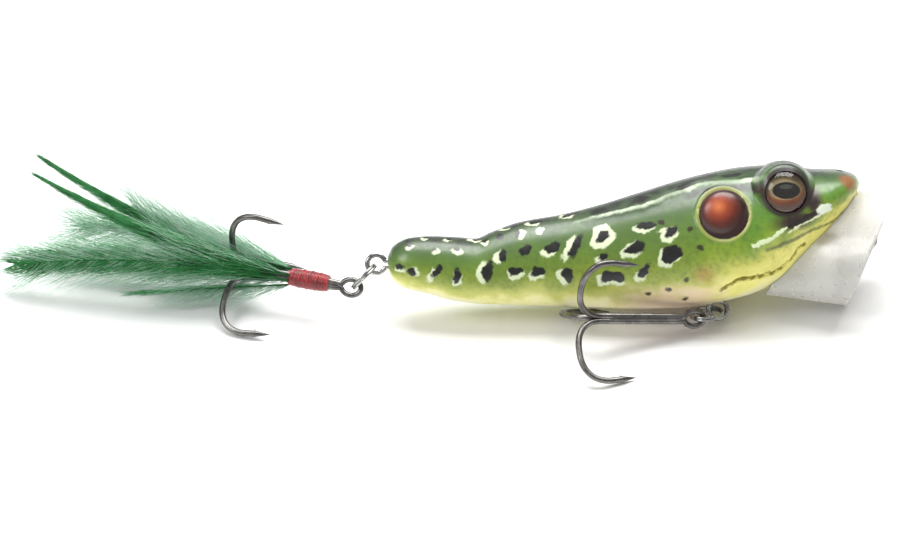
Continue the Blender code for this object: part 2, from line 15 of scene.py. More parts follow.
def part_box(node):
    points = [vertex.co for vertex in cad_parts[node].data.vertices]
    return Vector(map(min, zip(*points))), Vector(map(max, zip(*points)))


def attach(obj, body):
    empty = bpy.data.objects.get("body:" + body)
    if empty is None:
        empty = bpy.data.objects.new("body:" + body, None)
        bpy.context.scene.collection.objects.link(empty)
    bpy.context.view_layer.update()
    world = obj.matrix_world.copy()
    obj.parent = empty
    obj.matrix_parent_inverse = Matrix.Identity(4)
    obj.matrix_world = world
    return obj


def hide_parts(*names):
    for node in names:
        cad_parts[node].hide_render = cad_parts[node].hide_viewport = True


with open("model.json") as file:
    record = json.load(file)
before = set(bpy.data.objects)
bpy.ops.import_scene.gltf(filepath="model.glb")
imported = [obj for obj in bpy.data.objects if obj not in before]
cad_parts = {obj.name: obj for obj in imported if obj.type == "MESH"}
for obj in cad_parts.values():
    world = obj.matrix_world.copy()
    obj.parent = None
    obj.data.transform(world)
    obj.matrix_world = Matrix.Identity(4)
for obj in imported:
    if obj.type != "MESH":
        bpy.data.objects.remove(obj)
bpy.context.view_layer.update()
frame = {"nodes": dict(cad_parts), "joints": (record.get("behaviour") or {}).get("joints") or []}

MM = 0.001
JOINTS = {joint["name"]: joint for joint in frame["joints"]}
SIDES = (("right", -1), ("left", 1))
RANDOM = np.random.default_rng(7)

# The body's outlines, as the moulded shells have them: (x, height or half-width).
BACK = [(0, 1.0), (0.6, 2.2), (1.8, 3.1), (3.2, 3.6), (6.2, 3.85), (10.4, 3.7), (12.8, 3.5),
        (15.0, 4.4), (19.4, 5.95), (25.3, 7.0), (31.2, 8.5), (37.0, 10.3), (45.9, 12.9),
        (52.5, 14.1), (58.0, 14.4), (62.0, 13.8), (65.6, 13.7), (67.6, 13.3), (68.7, 12.8), (69.2, 12.0)]
BELLY = [(0, -1.0), (0.6, -2.6), (1.8, -3.6), (3.2, -4.1), (6.2, -4.8), (9.1, -5.6), (13.5, -6.15),
         (25.3, -6.5), (37.0, -6.9), (42.9, -6.75), (45.9, -6.4), (52.5, -5.0), (57.3, -2.8),
         (61.4, 1.2), (65.6, 5.4), (67.6, 7.9), (68.7, 9.7), (69.2, 11.0)]
WIDTH = [(0, 1.0), (0.6, 2.1), (1.8, 3.0), (3.2, 3.5), (9.1, 4.3), (16.5, 4.9), (25.3, 5.5),
         (37.0, 7.0), (45.9, 8.4), (54.0, 9.0), (60.0, 8.9), (64.0, 8.2), (67.0, 6.6),
         (68.7, 4.2), (69.2, 2.2)]
BODY_LENGTH = 69.2
WALL = 1.2
SEAM_GAP, SEAM_GROOVE = 0.02, 0.05

EYE_BUMP = Vector((57.9, 5.4, 10.25))
EYE_BUMP_RADIUS = 4.7
EYE_AXIS = Vector((0.08, 0.99, 0.0)).normalized()
EYE_RADIUS = 3.1
IRIS_DISTANCE = 2.8
DRUM = Vector((49.1, 7.5, 7.0))
DRUM_RADIUS, DRUM_HEIGHT = 3.7, 1.9

ROOT_BOTTOM, ROOT_TOP, ROOT_HALF_WIDTH = (55.5, -4.8), (64.0, 9.5), 3.5
RIM_BOTTOM, RIM_TOP, RIM_HALF_WIDTH = (67.2, -6.4), (74.6, 11.5), 8.5
FLARE_POWER = 1.3
RIM_WALL, BOWL_DEPTH = 0.8, 4.6

WIRE_RADIUS, LOOP_RADIUS, LEG_HALF_SPACING = 0.38, 1.35, 0.43
TAIL_EYE, BELLY_EYE, LINE_TIE = (-1.7, -0.3), (48.5, -6.95), (70.3, 3.3)
RING_RADIUS, RING_WIRE, RING_PITCH = 2.35, 0.2, 0.43

HOOK_WIRE = 0.47
HOOK_EYE_LENGTH, HOOK_EYE_WIDTH, HOOK_EYE_CENTRE = 1.5, 1.15, 0.25
BEND_START, BEND_END, BEND_POWER, ARM_ROOT = 14.4, 18.5, 2.4, 0.43
HOOK_REACH, POINT_REACH, POINT_AT = 10.0, 9.5, 10.3
BELLY_SHANK = Vector((-18.7, -4.1, 3.6)).normalized()
TAIL_ARMS_DEG, BELLY_ARMS_DEG = (-30.5, -150.5, 89.5), (-29.5, -149.5, 90.5)
THREAD_START, THREAD_END = 3.6, 9.8
TAIL_WEIGHT_AT = (13.5, -1.6)


# ---------------------------------------------------------------- places, from the frame

def centre_of(node):
    low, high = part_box(node)
    return (low + high) / 2


def axes_matrix(x, y, z, origin):
    matrix = Matrix((x, y, z)).transposed().to_4x4()
    matrix.translation = origin
    return matrix


def lure_axes():
    """The lure's own axes, from its slide and tail hinge, with its origin on the tail end."""
    x = Vector(JOINTS["rattle_front_slide"]["axis"]).normalized()
    z = x.cross(Vector(JOINTS["tail_ring_swing"]["axis"])).normalized()
    weight_x, weight_z = TAIL_WEIGHT_AT
    return axes_matrix(x, z.cross(x), z, centre_of("tail_weight") - (x * weight_x + z * weight_z) * MM)


def ring_axes(side):
    """A ring's axes: x from its wire eye to its hook, y along the wire, z the ring's axis."""
    pivot = Vector(JOINTS[side + "_ring_swing"]["pos_m"])
    x = (Vector(JOINTS[side + "_treble_swing"]["pos_m"]) - pivot).normalized()
    z = x.cross(Vector(JOINTS[side + "_ring_swing"]["axis"])).normalized()
    return axes_matrix(x, z.cross(x), z, pivot)


def hook_axes(side, shank):
    """A hook's axes: x along the shank, z as near upright as it can be."""
    up = Vector((0, 0, 1))
    z = (up - shank * up.dot(shank)).normalized()
    return axes_matrix(shank, z.cross(shank), z, Vector(JOINTS[side + "_treble_swing"]["pos_m"]))


LURE = lure_axes()
TAIL_SHANK = (centre_of("thread_wrap") - Vector(JOINTS["tail_treble_swing"]["pos_m"])).normalized()
TAIL_HOOK, BELLY_HOOK = hook_axes("tail", TAIL_SHANK), hook_axes("belly", BELLY_SHANK)


# ---------------------------------------------------------------- meshes

def piece(name, mesh, axes, body, replaced, finish):
    """A shown piece: its mesh is in millimetres in the given axes, and it rides on a body."""
    thing = bpy.data.objects.new(name, mesh)
    bpy.context.scene.collection.objects.link(thing)
    mesh.transform(Matrix.Scale(MM, 4))
    thing.matrix_world = axes
    mesh.materials.clear()
    mesh.materials.append(finish)
    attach(thing, body)
    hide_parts(*replaced)
    return thing


def mesh_of(name, parts, sharp_deg=40):
    """One mesh from closed parts, each (points, faces); a part may also have {name: values}."""
    points, faces, offset = [], [], 0
    for part in parts:
        points.append(np.asarray(part[0], float).reshape(-1, 3))
        faces += [tuple(i + offset for i in face) for face in part[1]]
        offset += len(points[-1])
    mesh = bpy.data.meshes.new(name)
    mesh.from_pydata(np.concatenate(points).tolist(), [], faces)
    for key in (parts[0][2] if len(parts[0]) > 2 else {}):
        values = np.concatenate([np.broadcast_to(part[2][key], len(block))
                                 for part, block in zip(parts, points)])
        add_values(mesh, key, values)
    mesh.validate()
    mesh.shade_smooth()
    mesh.set_sharp_from_angle(angle=math.radians(sharp_deg))
    return mesh


def add_values(mesh, key, values):
    attribute = mesh.attributes.new(key, "FLOAT", "POINT")
    attribute.data.foreach_set("value", np.asarray(values, np.float32))


def grid_faces(rows, columns, closed=True):
    """Quads over a grid of points kept row by row; closed joins the last column to the first."""
    faces = []
    for i in range(rows - 1):
        for j in range(columns if closed else columns - 1):
            k = (j + 1) % columns
            row, above = i * columns, (i + 1) * columns
            faces.append((row + j, row + k, above + k, above + j))
    return faces


def loft(rings):
    """A closed part through closed rings of points."""
    rings = np.asarray(rings, float)
    rows, columns = rings.shape[:2]
    faces = grid_faces(rows, columns)
    faces.append(tuple(reversed(range(columns))))
    faces.append(tuple((rows - 1) * columns + j for j in range(columns)))
    return rings.reshape(-1, 3), faces


def unit(vectors):
    return vectors / np.maximum(np.linalg.norm(vectors, axis=-1, keepdims=True), 1e-12)


def tubes(lines, radii, sides, across):
    """Closed tubes along centre lines (tube, point, xyz), turned so that one side faces across."""
    lines = np.asarray(lines, float)
    radii = np.broadcast_to(np.asarray(radii, float), lines.shape[:2])
    ahead = unit(np.gradient(lines, axis=1))
    wide = np.broadcast_to(np.asarray(across, float), lines.shape)
    wide = unit(wide - ahead * np.sum(wide * ahead, -1, keepdims=True))
    thick = np.cross(ahead, wide)
    angles = 2 * math.pi * (np.arange(sides) + 0.5) / sides
    rings = (lines[:, :, None] + radii[:, :, None, None]
             * (wide[:, :, None] * np.cos(angles)[:, None]
                + thick[:, :, None] * np.sin(angles)[:, None]))
    count, steps = lines.shape[:2]
    faces = []
    for one in range(count):
        start = one * steps * sides
        faces += [tuple(start + i for i in face) for face in grid_faces(steps, sides)]
        faces.append(tuple(start + j for j in reversed(range(sides))))
        faces.append(tuple(start + (steps - 1) * sides + j for j in range(sides)))
    return rings.reshape(-1, 3), faces


def wire(points, radius, sides=16, taper=None):
    """One closed round wire along points, its rings turned without twist."""
    points = np.asarray(points, float)
    ahead = unit(np.gradient(points, axis=0))
    side = unit(np.cross(ahead[0], (0.31, 0.87, 0.38)))
    rings = []
    angles = 2 * math.pi * np.arange(sides) / sides
    for index, at in enumerate(points):
        side = unit(side - ahead[index] * np.dot(side, ahead[index]))
        other = np.cross(ahead[index], side)
        size = radius * (1.0 if taper is None else taper[index])
        rings.append(at + size * (np.cos(angles)[:, None] * side + np.sin(angles)[:, None] * other))
    return loft(rings)


def rounded(points, steps):
    """A smooth line through points, read at even steps (Catmull-Rom)."""
    points = np.asarray(points, float)
    padded = np.vstack([2 * points[0] - points[1], points, 2 * points[-1] - points[-2]])
    at = np.linspace(0, len(points) - 1, steps)
    low = np.minimum(at.astype(int), len(points) - 2)
    t = (at - low)[:, None]
    p0, p1, p2, p3 = (padded[low + k] for k in range(4))
    return 0.5 * (2 * p1 + (p2 - p0) * t + (2 * p0 - 5 * p1 + 4 * p2 - p3) * t**2
                  + (3 * p1 - p0 - 3 * p2 + p3) * t**3)


def spun(profile, sides, axes=None):
    """A closed turned part about z from an open or closed profile of (radius, z)."""
    angles = 2 * math.pi * np.arange(sides) / sides
    rings = np.array([[(r * math.cos(a), r * math.sin(a), z) for a in angles] for r, z in profile])
    points, faces = loft(rings)
    if axes is not None:
        points = placed(points, axes)
    return points, faces


def placed(points, matrix):
    """Points moved by a matrix."""
    array = np.array(matrix)
    return points @ array[:3, :3].T + array[:3, 3]


# ---------------------------------------------------------------- materials

def linear(colour):
    """A colour given as 0 to 255 screen values, as a linear colour with alpha."""
    shares = [c / 255 for c in colour]
    return tuple(s / 12.92 if s <= 0.04045 else ((s + 0.055) / 1.055) ** 2.4 for s in shares) + (1.0,)


class Finish:
    """A node material, built by short calls; every call returns an output socket."""

    def __init__(self, name, **values):
        self.material = bpy.data.materials.new(name)
        self.material.use_nodes = True
        self.tree = self.material.node_tree
        self.shader = self.tree.nodes["Principled BSDF"]
        self.place = self.node("ShaderNodeTexCoord").outputs["Object"]
        self.constants(**values)

    def constants(self, **values):
        """Set the shader's own sockets: coat_roughness=0.1 sets Coat Roughness."""
        for key, value in values.items():
            socket = next(s for s in self.shader.inputs if s.name.lower().replace(" ", "_") == key)
            socket.default_value = value

    def node(self, kind, **links):
        made = self.tree.nodes.new(kind)
        for key, value in links.items():
            self.put(made.inputs[key.replace("_", " ")], value)
        return made

    def put(self, socket, value):
        if isinstance(value, bpy.types.NodeSocket):
            self.tree.links.new(value, socket)
        else:
            socket.default_value = value

    def value(self, key):
        made = self.node("ShaderNodeAttribute")
        made.attribute_name = key
        return made.outputs["Fac"]

    def sum(self, operation, *values):
        made = self.node("ShaderNodeMath")
        made.operation = operation
        for socket, value in zip(made.inputs, values):
            self.put(socket, value)
        return made.outputs[0]

    def noise(self, scale, detail=3.0, stretch=None, roughness=0.5):
        """Noise from 0 to 1 over the object; scale is per metre."""
        place = self.place
        if stretch:
            place = self.node("ShaderNodeMapping", Vector=place, Scale=stretch).outputs[0]
        made = self.node("ShaderNodeTexNoise", Vector=place, Scale=scale, Detail=detail,
                         Roughness=roughness)
        return made.outputs["Fac"]

    def ranged(self, value, start, end, low=0.0, high=1.0, smooth=True):
        made = self.node("ShaderNodeMapRange")
        made.interpolation_type = "SMOOTHSTEP" if smooth else "LINEAR"
        for key, item in (("Value", value), ("From Min", start), ("From Max", end),
                          ("To Min", low), ("To Max", high)):
            self.put(made.inputs[key], item)
        return made.outputs["Result"]

    def inside(self, distance, soft, shift=0.0):
        """1 where a distance is negative, 0 past it, over a soft edge in millimetres."""
        return self.ranged(distance, shift - soft, shift + soft, 1.0, 0.0)

    def ramp(self, value, stops):
        made = self.node("ShaderNodeValToRGB", Fac=value)
        elements = made.color_ramp.elements
        while len(elements) < len(stops):
            elements.new(0.5)
        for element, (position, colour) in zip(elements, stops):
            element.position = position
            element.color = linear(colour)
        return made.outputs["Color"]

    def mix(self, share, first, second, blend="MIX"):
        made = self.node("ShaderNodeMix")
        made.data_type = "RGBA"
        made.blend_type = blend
        for index, item in ((0, share), (6, first), (7, second)):
            if isinstance(item, tuple) and len(item) == 3:
                item = linear(item)
            self.put(made.inputs[index], item)
        return made.outputs[2]

    def bump(self, height, distance, strength=1.0, over=None):
        made = self.node("ShaderNodeBump", Height=height, Distance=distance * MM, Strength=strength)
        if over:
            self.put(made.inputs["Normal"], over)
        return made.outputs[0]

    def set(self, **links):
        """Link sockets of the shader: base_color=..., roughness=..., normal=..."""
        for key, value in links.items():
            socket = next(s for s in self.shader.inputs if s.name.lower().replace(" ", "_") == key)
            self.put(socket, value)
        return self.material


def metal_finish(name, dark, bright, roughness, streaks, tarnish):
    """Drawn wire: fine scratches, cloudy tarnish and a little uneven polish."""
    finish = Finish(name, metallic=1.0)
    cloud = finish.noise(420, 3)
    fine = finish.noise(streaks, 2)
    colour = finish.mix(finish.ranged(cloud, 0.3, 0.7), dark, bright)
    colour = finish.mix(finish.ranged(finish.noise(1400, 4), 0.58, 0.8, 0.0, 0.35), colour, tarnish)
    rough = finish.ranged(fine, 0.3, 0.7, roughness - 0.05, roughness + 0.07, smooth=False)
    return finish.set(base_color=colour, roughness=rough, normal=finish.bump(fine, 0.006, 0.25))


# ---------------------------------------------------------------- body shape

def outline(points, x):
    """Heights at x on a smooth line through points, without overshoot (monotone cubic)."""
    xs, ys = (np.array(column, float) for column in zip(*points))
    x = np.clip(x, xs[0], xs[-1])
    gaps = np.diff(xs)
    slopes = np.diff(ys) / gaps
    product = slopes[:-1] * slopes[1:]
    total = np.where(product > 0, slopes[:-1] + slopes[1:], 1.0)
    inner = np.where(product > 0, 2 * product / total, 0.0)
    tangents = np.concatenate([slopes[:1], inner, slopes[-1:]])
    low = np.clip(np.searchsorted(xs, x, side="right") - 1, 0, len(xs) - 2)
    width = gaps[low]
    t = (x - xs[low]) / width
    return ((2 * t**3 - 3 * t**2 + 1) * ys[low] + (t**3 - 2 * t**2 + t) * tangents[low] * width
            + (3 * t**2 - 2 * t**3) * ys[low + 1] + (t**3 - t**2) * tangents[low + 1] * width)


def sphere_reach(middle, x, y_way, z_way, centre, radii):
    """How far a ray from (x, 0, middle) goes before it leaves an ellipsoid; 0 if it misses."""
    rx, ry, rz = radii
    a = (y_way / ry) ** 2 + (z_way / rz) ** 2
    b = -y_way * centre.y / ry**2 + z_way * (middle - centre.z) / rz**2
    c = ((x - centre.x) / rx) ** 2 + (centre.y / ry) ** 2 + ((middle - centre.z) / rz) ** 2 - 1
    root = b**2 - a * c
    return np.where(root > 0, (-b + np.sqrt(np.maximum(root, 0))) / a, 0.0)


def soft_max(a, b, blend):
    """The larger of two lengths, with a fillet where they are nearly equal."""
    share = np.clip(0.5 + 0.5 * (a - b) / blend, 0, 1)
    return b + (a - b) * share + blend * share * (1 - share)


def body_surface(x, angles, inset=0.0):
    """Points of the left half: rows along x, columns from the belly seam (-90) to the back seam."""
    x = x[:, None]
    top, bottom, width = outline(BACK, x), outline(BELLY, x), outline(WIDTH, x)
    middle, half = (top + bottom) / 2, np.maximum((top - bottom) / 2 - inset, 0.3)
    width = np.maximum(width - inset, 0.3)
    y_way, z_way = np.cos(angles)[None], np.sin(angles)[None]
    reach = 1 / np.sqrt((y_way / width) ** 2 + (z_way / half) ** 2)
    if inset == 0:
        bump = sphere_reach(middle, x, y_way, z_way, EYE_BUMP, (EYE_BUMP_RADIUS,) * 3)
        reach = soft_max(reach, bump, 0.9)
        drum = sphere_reach(middle, x, y_way, z_way, DRUM, (DRUM_RADIUS, DRUM_HEIGHT, DRUM_RADIUS))
        reach = soft_max(reach, drum, 0.12)
    return np.stack([np.broadcast_to(x, reach.shape), reach * y_way, middle + reach * z_way], -1)


def stations():
    """Places along the body: closer in the head, and closing to a rounded point at both ends."""
    tail = 0.9 * (1 - np.cos(np.linspace(0, math.pi / 2, 12)))
    trunk = np.linspace(tail[-1], 44.0, 118)[1:]
    head = np.linspace(44.0, 68.0, 116)[1:]
    nose = 68.0 + (BODY_LENGTH - 68.0) * np.sin(np.linspace(0, math.pi / 2, 12))[1:]
    return np.concatenate([tail, trunk, head, nose])


# Lines drawn or raised on a flank: (x, z) points, from the tail towards the nose.
FOLD = [(27.5, 5.9), (29.7, 6.5), (32.6, 7.2), (37.0, 8.2), (39.2, 9.0), (41.7, 10.0), (43.7, 10.6),
        (45.9, 11.5), (48.8, 11.8), (52.5, 12.05), (55.4, 12.5)]
FOLD_DARK = [(44.0, 9.6), (46.5, 10.5), (50.0, 10.9), (54.0, 10.8)]
CHEEK = [(53.5, 2.3), (55.8, 3.4), (58.2, 5.0)]
LIP_LIGHT = [(58.6, 4.5), (60.5, 5.5), (63.2, 6.9)]
LIP_DARK = [(58.9, 5.3), (61.0, 6.3), (63.2, 7.5)]
LIP_GREEN = [(55.4, 1.8), (59.1, 3.2), (62.0, 4.7), (65.0, 5.9), (67.2, 7.9), (68.4, 9.6)]
MOUTH = [(48.8, -4.1), (50.3, -3.1), (51.7, -2.35), (53.9, -2.1), (55.9, -1.6), (57.6, -0.7),
         (59.1, 0.6), (60.1, 2.1), (61.0, 2.8)]
NOSTRIL = (66.3, 2.0)


class Flank:
    """The finished half skin as points and normals, for placing paint by (x, z) on its side."""

    def __init__(self, points, normals, side):
        self.points, self.normals, self.side = points, normals, side
        self.outer = np.einsum("ij,ij->i", normals, points - self.axis_points()) > 0

    def axis_points(self):
        x = self.points[:, 0]
        middle = (outline(BACK, x) + outline(BELLY, x)) / 2
        return np.stack([x, np.zeros_like(x), middle], -1)

    def nearest(self, target, columns):
        gap = np.sum((self.points[:, columns] - np.asarray(target)) ** 2, 1)
        hidden = ~self.outer
        if columns == [0, 2]:
            hidden = hidden | (self.points[:, 1] * self.side < 0.5)
        else:
            hidden = hidden | (self.normals[:, 2] < 0.2)
        index = int(np.argmin(np.where(hidden, 1e9, gap)))
        return self.points[index], self.normals[index]

    def on_flank(self, x, z):
        return self.nearest((x, z), [0, 2])

    def flank_place(self, x, z):
        return self.tangent_place(*self.on_flank(x, z))

    def on_back(self, x, y):
        return self.nearest((x, y * self.side), [0, 1])

    def tangent_place(self, at, normal):
        """Every point's (along, up, away) from a place on the skin."""
        along = np.array([1.0, 0, 0]) - normal * normal[0]
        along = along / np.linalg.norm(along)
        up = np.cross(along, normal) * -self.side
        up = up * (1 if up[2] >= 0 or abs(up[2]) < 0.3 else -1)
        away = self.points - at
        return away @ along, away @ up, away @ normal

    def spot(self, place, half_u, half_v, tilt_deg, wobble):
        """Signed distance to an uneven oval on the skin, in millimetres."""
        u, v, depth = place
        tilt = math.radians(tilt_deg)
        across = u * math.cos(tilt) + v * math.sin(tilt)
        up = -u * math.sin(tilt) + v * math.cos(tilt)
        angle = np.arctan2(up, across)
        size = (1 + 0.12 * np.sin(2 * angle + wobble) + 0.10 * np.sin(3 * angle + 2.3 * wobble)
                + 0.05 * np.sin(5 * angle + 4.1 * wobble))
        ratio = np.hypot(across / half_u, up / half_v) / size
        distance = (ratio - 1) * min(half_u, half_v)
        return np.where(np.abs(depth) > 3.2, 9.0, distance)

    def line(self, points, steps=40):
        """Distance to a line on the flank, and how far along it the nearest place is (0 to 1)."""
        path = rounded([(x, 0, z) for x, z in points], steps)
        path = np.array([self.on_flank(x, z)[0] for x, _, z in path])
        best, along = np.full(len(self.points), 9.0), np.zeros(len(self.points))
        for index, (a, b) in enumerate(zip(path, path[1:])):
            run = b - a
            t = np.clip((self.points - a) @ run / max(run @ run, 1e-9), 0, 1)
            gap = np.linalg.norm(self.points - a - t[:, None] * run, axis=1)
            along = np.where(gap < best, (index + t) / (len(path) - 1), along)
            best = np.minimum(best, gap)
        return best, along


def eye_offset(points, side):
    """Each point's distance from the eye's axis and along it, from the bump's centre."""
    centre = np.array([EYE_BUMP.x, side * EYE_BUMP.y, EYE_BUMP.z])
    axis = np.array([EYE_AXIS.x, side * EYE_AXIS.y, EYE_AXIS.z])
    away = points - centre
    along = away @ axis
    return np.linalg.norm(away - along[:, None] * axis, axis=1), along


def relief(flank):
    """How far each skin point is raised or sunk by the moulded features, in millimetres."""
    points, side = flank.points, flank.side
    height = np.zeros(len(points))
    gap, along = flank.line(FOLD)
    height += 0.28 * np.exp(-(gap / 0.75) ** 2) * np.sin(math.pi * np.clip(along, 0.02, 0.98)) ** 0.5
    gap, along = flank.line(MOUTH)
    height += 0.22 * np.exp(-((gap - 0.55) / 0.4) ** 2) - 0.34 * np.exp(-(gap / 0.26) ** 2)
    gap, along = flank.line(CHEEK)
    height += 0.2 * np.exp(-(gap / 0.6) ** 2)
    around, out = eye_offset(points, side)
    above = np.clip((points[:, 2] - EYE_BUMP.z) / 4.0, -1, 1)
    rim = 0.04 + 0.34 * np.clip(above, 0, 1)
    height += np.where(out > 0, rim * np.exp(-((around - 3.7) / 0.45) ** 2), 0)
    ring = np.hypot(points[:, 0] - DRUM.x, points[:, 2] - DRUM.z)
    near = points[:, 1] * side > 3
    height += np.where(near, 0.14 * np.exp(-((ring - 4.0) / 0.25) ** 2)
                       - 0.12 * np.exp(-((ring - 3.6) / 0.18) ** 2), 0)
    at, _ = flank.on_back(*NOSTRIL)
    height -= 0.4 * np.exp(-np.sum((points - at) ** 2, 1) / 0.45**2)
    return height


def skin_mesh(side):
    """One half of the moulded body: a fine outer skin, an inner wall, and a closed seam edge."""
    x = stations()
    angles = np.radians(np.linspace(-90, 90, 121))
    outer = body_surface(x, angles)
    rows, columns = outer.shape[:2]
    flat = outer.reshape(-1, 3) * (1, side, 1)
    grid = flat.reshape(rows, columns, 3)
    normals = unit(np.cross(np.gradient(grid, axis=0), np.gradient(grid, axis=1))) * -side
    flank = Flank(flat, normals.reshape(-1, 3), side)
    raised = relief(flank).reshape(rows, columns)
    ends = np.minimum(1, np.minimum(x - x[0], x[-1] - x) / 1.5)
    seam = np.minimum(1, (90 - np.abs(np.degrees(angles))) / 2.5)
    groove = -SEAM_GROOVE * (1 - seam)
    grid = grid + normals * (raised * ends[:, None] + groove)[:, :, None]
    grid[:, :, 1] = side * np.maximum(grid[:, :, 1] * side, SEAM_GAP)
    grid[:, (0, -1), 1] = side * SEAM_GAP
    inner_x = np.clip(x, WALL, BODY_LENGTH - WALL - 1.5)
    inner = body_surface(inner_x, np.radians(np.linspace(-90, 90, 13)), WALL) * (1, side, 1)
    inner[:, :, 1] = side * np.maximum(inner[:, :, 1] * side, SEAM_GAP)
    inner_columns = inner.shape[1]
    points = np.concatenate([grid.reshape(-1, 3), inner.reshape(-1, 3)])
    faces = grid_faces(rows, columns, closed=False)
    start = rows * columns
    faces += [tuple(reversed([start + i for i in f]))
              for f in grid_faces(rows, inner_columns, closed=False)]

    def outer_at(i, j):
        return i * columns + j

    def inner_at(i, j):
        return start + i * inner_columns + j

    for i in range(rows - 1):
        faces.append((outer_at(i, 0), outer_at(i + 1, 0), inner_at(i + 1, 0), inner_at(i, 0)))
        faces.append((outer_at(i + 1, columns - 1), outer_at(i, columns - 1),
                      inner_at(i, inner_columns - 1), inner_at(i + 1, inner_columns - 1)))
    for i in (0, rows - 1):
        edge = [outer_at(i, j) for j in range(columns)]
        edge += [inner_at(i, j) for j in reversed(range(inner_columns))]
        faces.append(tuple(edge if i == 0 else reversed(edge)))
    if side > 0:
        faces = [tuple(reversed(face)) for face in faces]
    mesh = bpy.data.meshes.new("skin")
    mesh.from_pydata(points.tolist(), [], faces)
    mesh.validate()
    return mesh


def evaluated_mesh(mesh, cutters):
    """A mesh after cutting other closed meshes from it, with its faces turned outwards."""
    thing = bpy.data.objects.new("being_cut", mesh)
    bpy.context.scene.collection.objects.link(thing)
    tools = []
    for cutter in cutters:
        tool = bpy.data.objects.new("cutter", cutter)
        bpy.context.scene.collection.objects.link(tool)
        modifier = thing.modifiers.new("cut", "BOOLEAN")
        modifier.object = tool
        tools.append(tool)
    graph = bpy.context.evaluated_depsgraph_get()
    made = bpy.data.meshes.new_from_object(thing.evaluated_get(graph))
    for used in [thing] + tools:
        bpy.data.objects.remove(used, do_unlink=True)
    return made


def outwards(mesh):
    bm = bmesh.new()
    bm.from_mesh(mesh)
    bmesh.ops.recalc_face_normals(bm, faces=bm.faces)
    bm.to_mesh(mesh)
    bm.free()
    return mesh


def eye_axes(side, distance):
    """Millimetre axes on an eye: z outwards, y up the flank, x along the body."""
    z = Vector((EYE_AXIS.x, side * EYE_AXIS.y, EYE_AXIS.z))
    x = (Vector((1, 0, 0)) - z * z.x).normalized()
    centre = Vector((EYE_BUMP.x, side * EYE_BUMP.y, EYE_BUMP.z)) + z * distance
    return axes_matrix(x, z.cross(x), z, centre)


def rod(radius, start, end, sides=48):
    """A closed cylinder between two places."""
    return wire([start, end], radius, sides)


def skin_cutters(side):
    """The eye's socket and the passages for the wire eyes."""
    wall = EYE_RADIUS + 0.04
    socket = spun([(wall, IRIS_DISTANCE - 0.3), (wall, 9.0)], 96, eye_axes(side, 0))
    bore = LEG_HALF_SPACING + WIRE_RADIUS + 0.15
    tail = rod(bore, (-3, 0, TAIL_EYE[1]), (4, 0, TAIL_EYE[1]))
    belly = rod(bore, (BELLY_EYE[0], 0, -9), (BELLY_EYE[0], 0, -3))
    nose = rod(bore, (58, 0, LINE_TIE[1]), (80, 0, LINE_TIE[1]))
    slot = rod(LOOP_RADIUS + WIRE_RADIUS + 0.15, (BELLY_EYE[0], -WIRE_RADIUS - 0.15, BELLY_EYE[1]),
               (BELLY_EYE[0], WIRE_RADIUS + 0.15, BELLY_EYE[1]))
    return [outwards(mesh_of("cutter", [part])) for part in (socket, tail, belly, nose, slot)]


# ---------------------------------------------------------------- body paint

# Black marks on a flank: x, z, half-length, half-height, tilt, then the white edge's shift
# (along, up) and how far it reaches past the black; a mark without one has only three more.
MARKS = [
    (3.1, 2.5, 0.45, 0.30, 0, 0.0, -0.35, 0.12), (6.8, 1.9, 0.30, 0.40, 0, 0.2, -0.3, 0.14),
    (10.1, 1.9, 0.45, 0.40, 0, 0.0, -0.35, 0.2), (14.1, 3.1, 0.50, 0.40, 0, 0.0, -0.35, 0.12),
    (16.2, 3.7, 0.50, 0.60, 0, 0.0, 0.0, -0.3), (16.9, 0.9, 0.60, 0.75, 0, -0.6, -0.2, 0.06),
    (18.9, 4.1, 0.37, 0.65, 0, 0.55, 0.0, 0.1), (20.1, 1.7, 0.60, 0.95, -25, 0.0, 0.0, -0.3),
    (24.1, 2.2, 0.95, 0.70, 30, -0.42, -0.5, 0.06), (1.5, -0.7, 0.65, 0.38, 0, 0.0, -0.35, 0.08),
    (3.6, -1.5, 0.65, 0.50, 0, 0.3, 0.0, 0.04), (7.1, -1.4, 0.50, 0.95, -35, -0.5, -0.42, 0.05),
    (10.0, -2.1, 0.55, 0.95, 0, 0.0, -0.45, 0.1), (14.4, -1.4, 0.72, 1.40, 0, -0.6, -0.12, 0.06),
    (18.5, -1.4, 0.80, 0.66, 0, 0.0, -0.4, 0.14), (21.9, -1.3, 0.85, 0.70, 25, -0.25, -0.5, 0.06),
    (26.4, -1.8, 0.80, 0.95, 0, -0.6, -0.2, 0.08), (27.5, 2.2, 0.55, 1.50, -25, -0.8, -0.15, 0.04),
    (31.6, 3.9, 1.05, 0.60, 35, -0.1, -0.05, 0.8), (31.5, 0.7, 0.60, 0.50, 0, -0.42, -0.35, 0.1),
    (32.1, -2.1, 0.95, 0.90, 0, -0.45, -0.42, 0.08), (33.6, -2.2, 0.85, 0.80, 0, -0.1, -0.42, 0.08),
    (37.9, 5.4, 1.25, 0.50, 8, -0.42, -0.42, 0.1), (41.4, 4.4, 1.10, 0.60, 45, -0.3, -0.35, 0.3),
    (36.2, 2.1, 1.50, 0.75, 20, -0.48, -0.34, 0.14), (41.3, 1.2, 1.35, 1.20, 0, -0.38, -0.42, 0.12),
    (37.5, -1.3, 0.55, 1.30, -30, -0.28, -0.45, 0.1),
]
WHITES = [(22.3, 4.6, 0.55, 0.65), (39.9, 4.6, 0.4, 0.25)]
DOTS = [(45.7, 2.2, 0.5), (44.1, 4.9, 0.42), (43.7, -2.6, 0.46), (40.9, -4.0, 0.46),
        (38.2, -4.7, 0.42), (43.5, -5.3, 0.5), (39.9, 5.9, 0.5)]
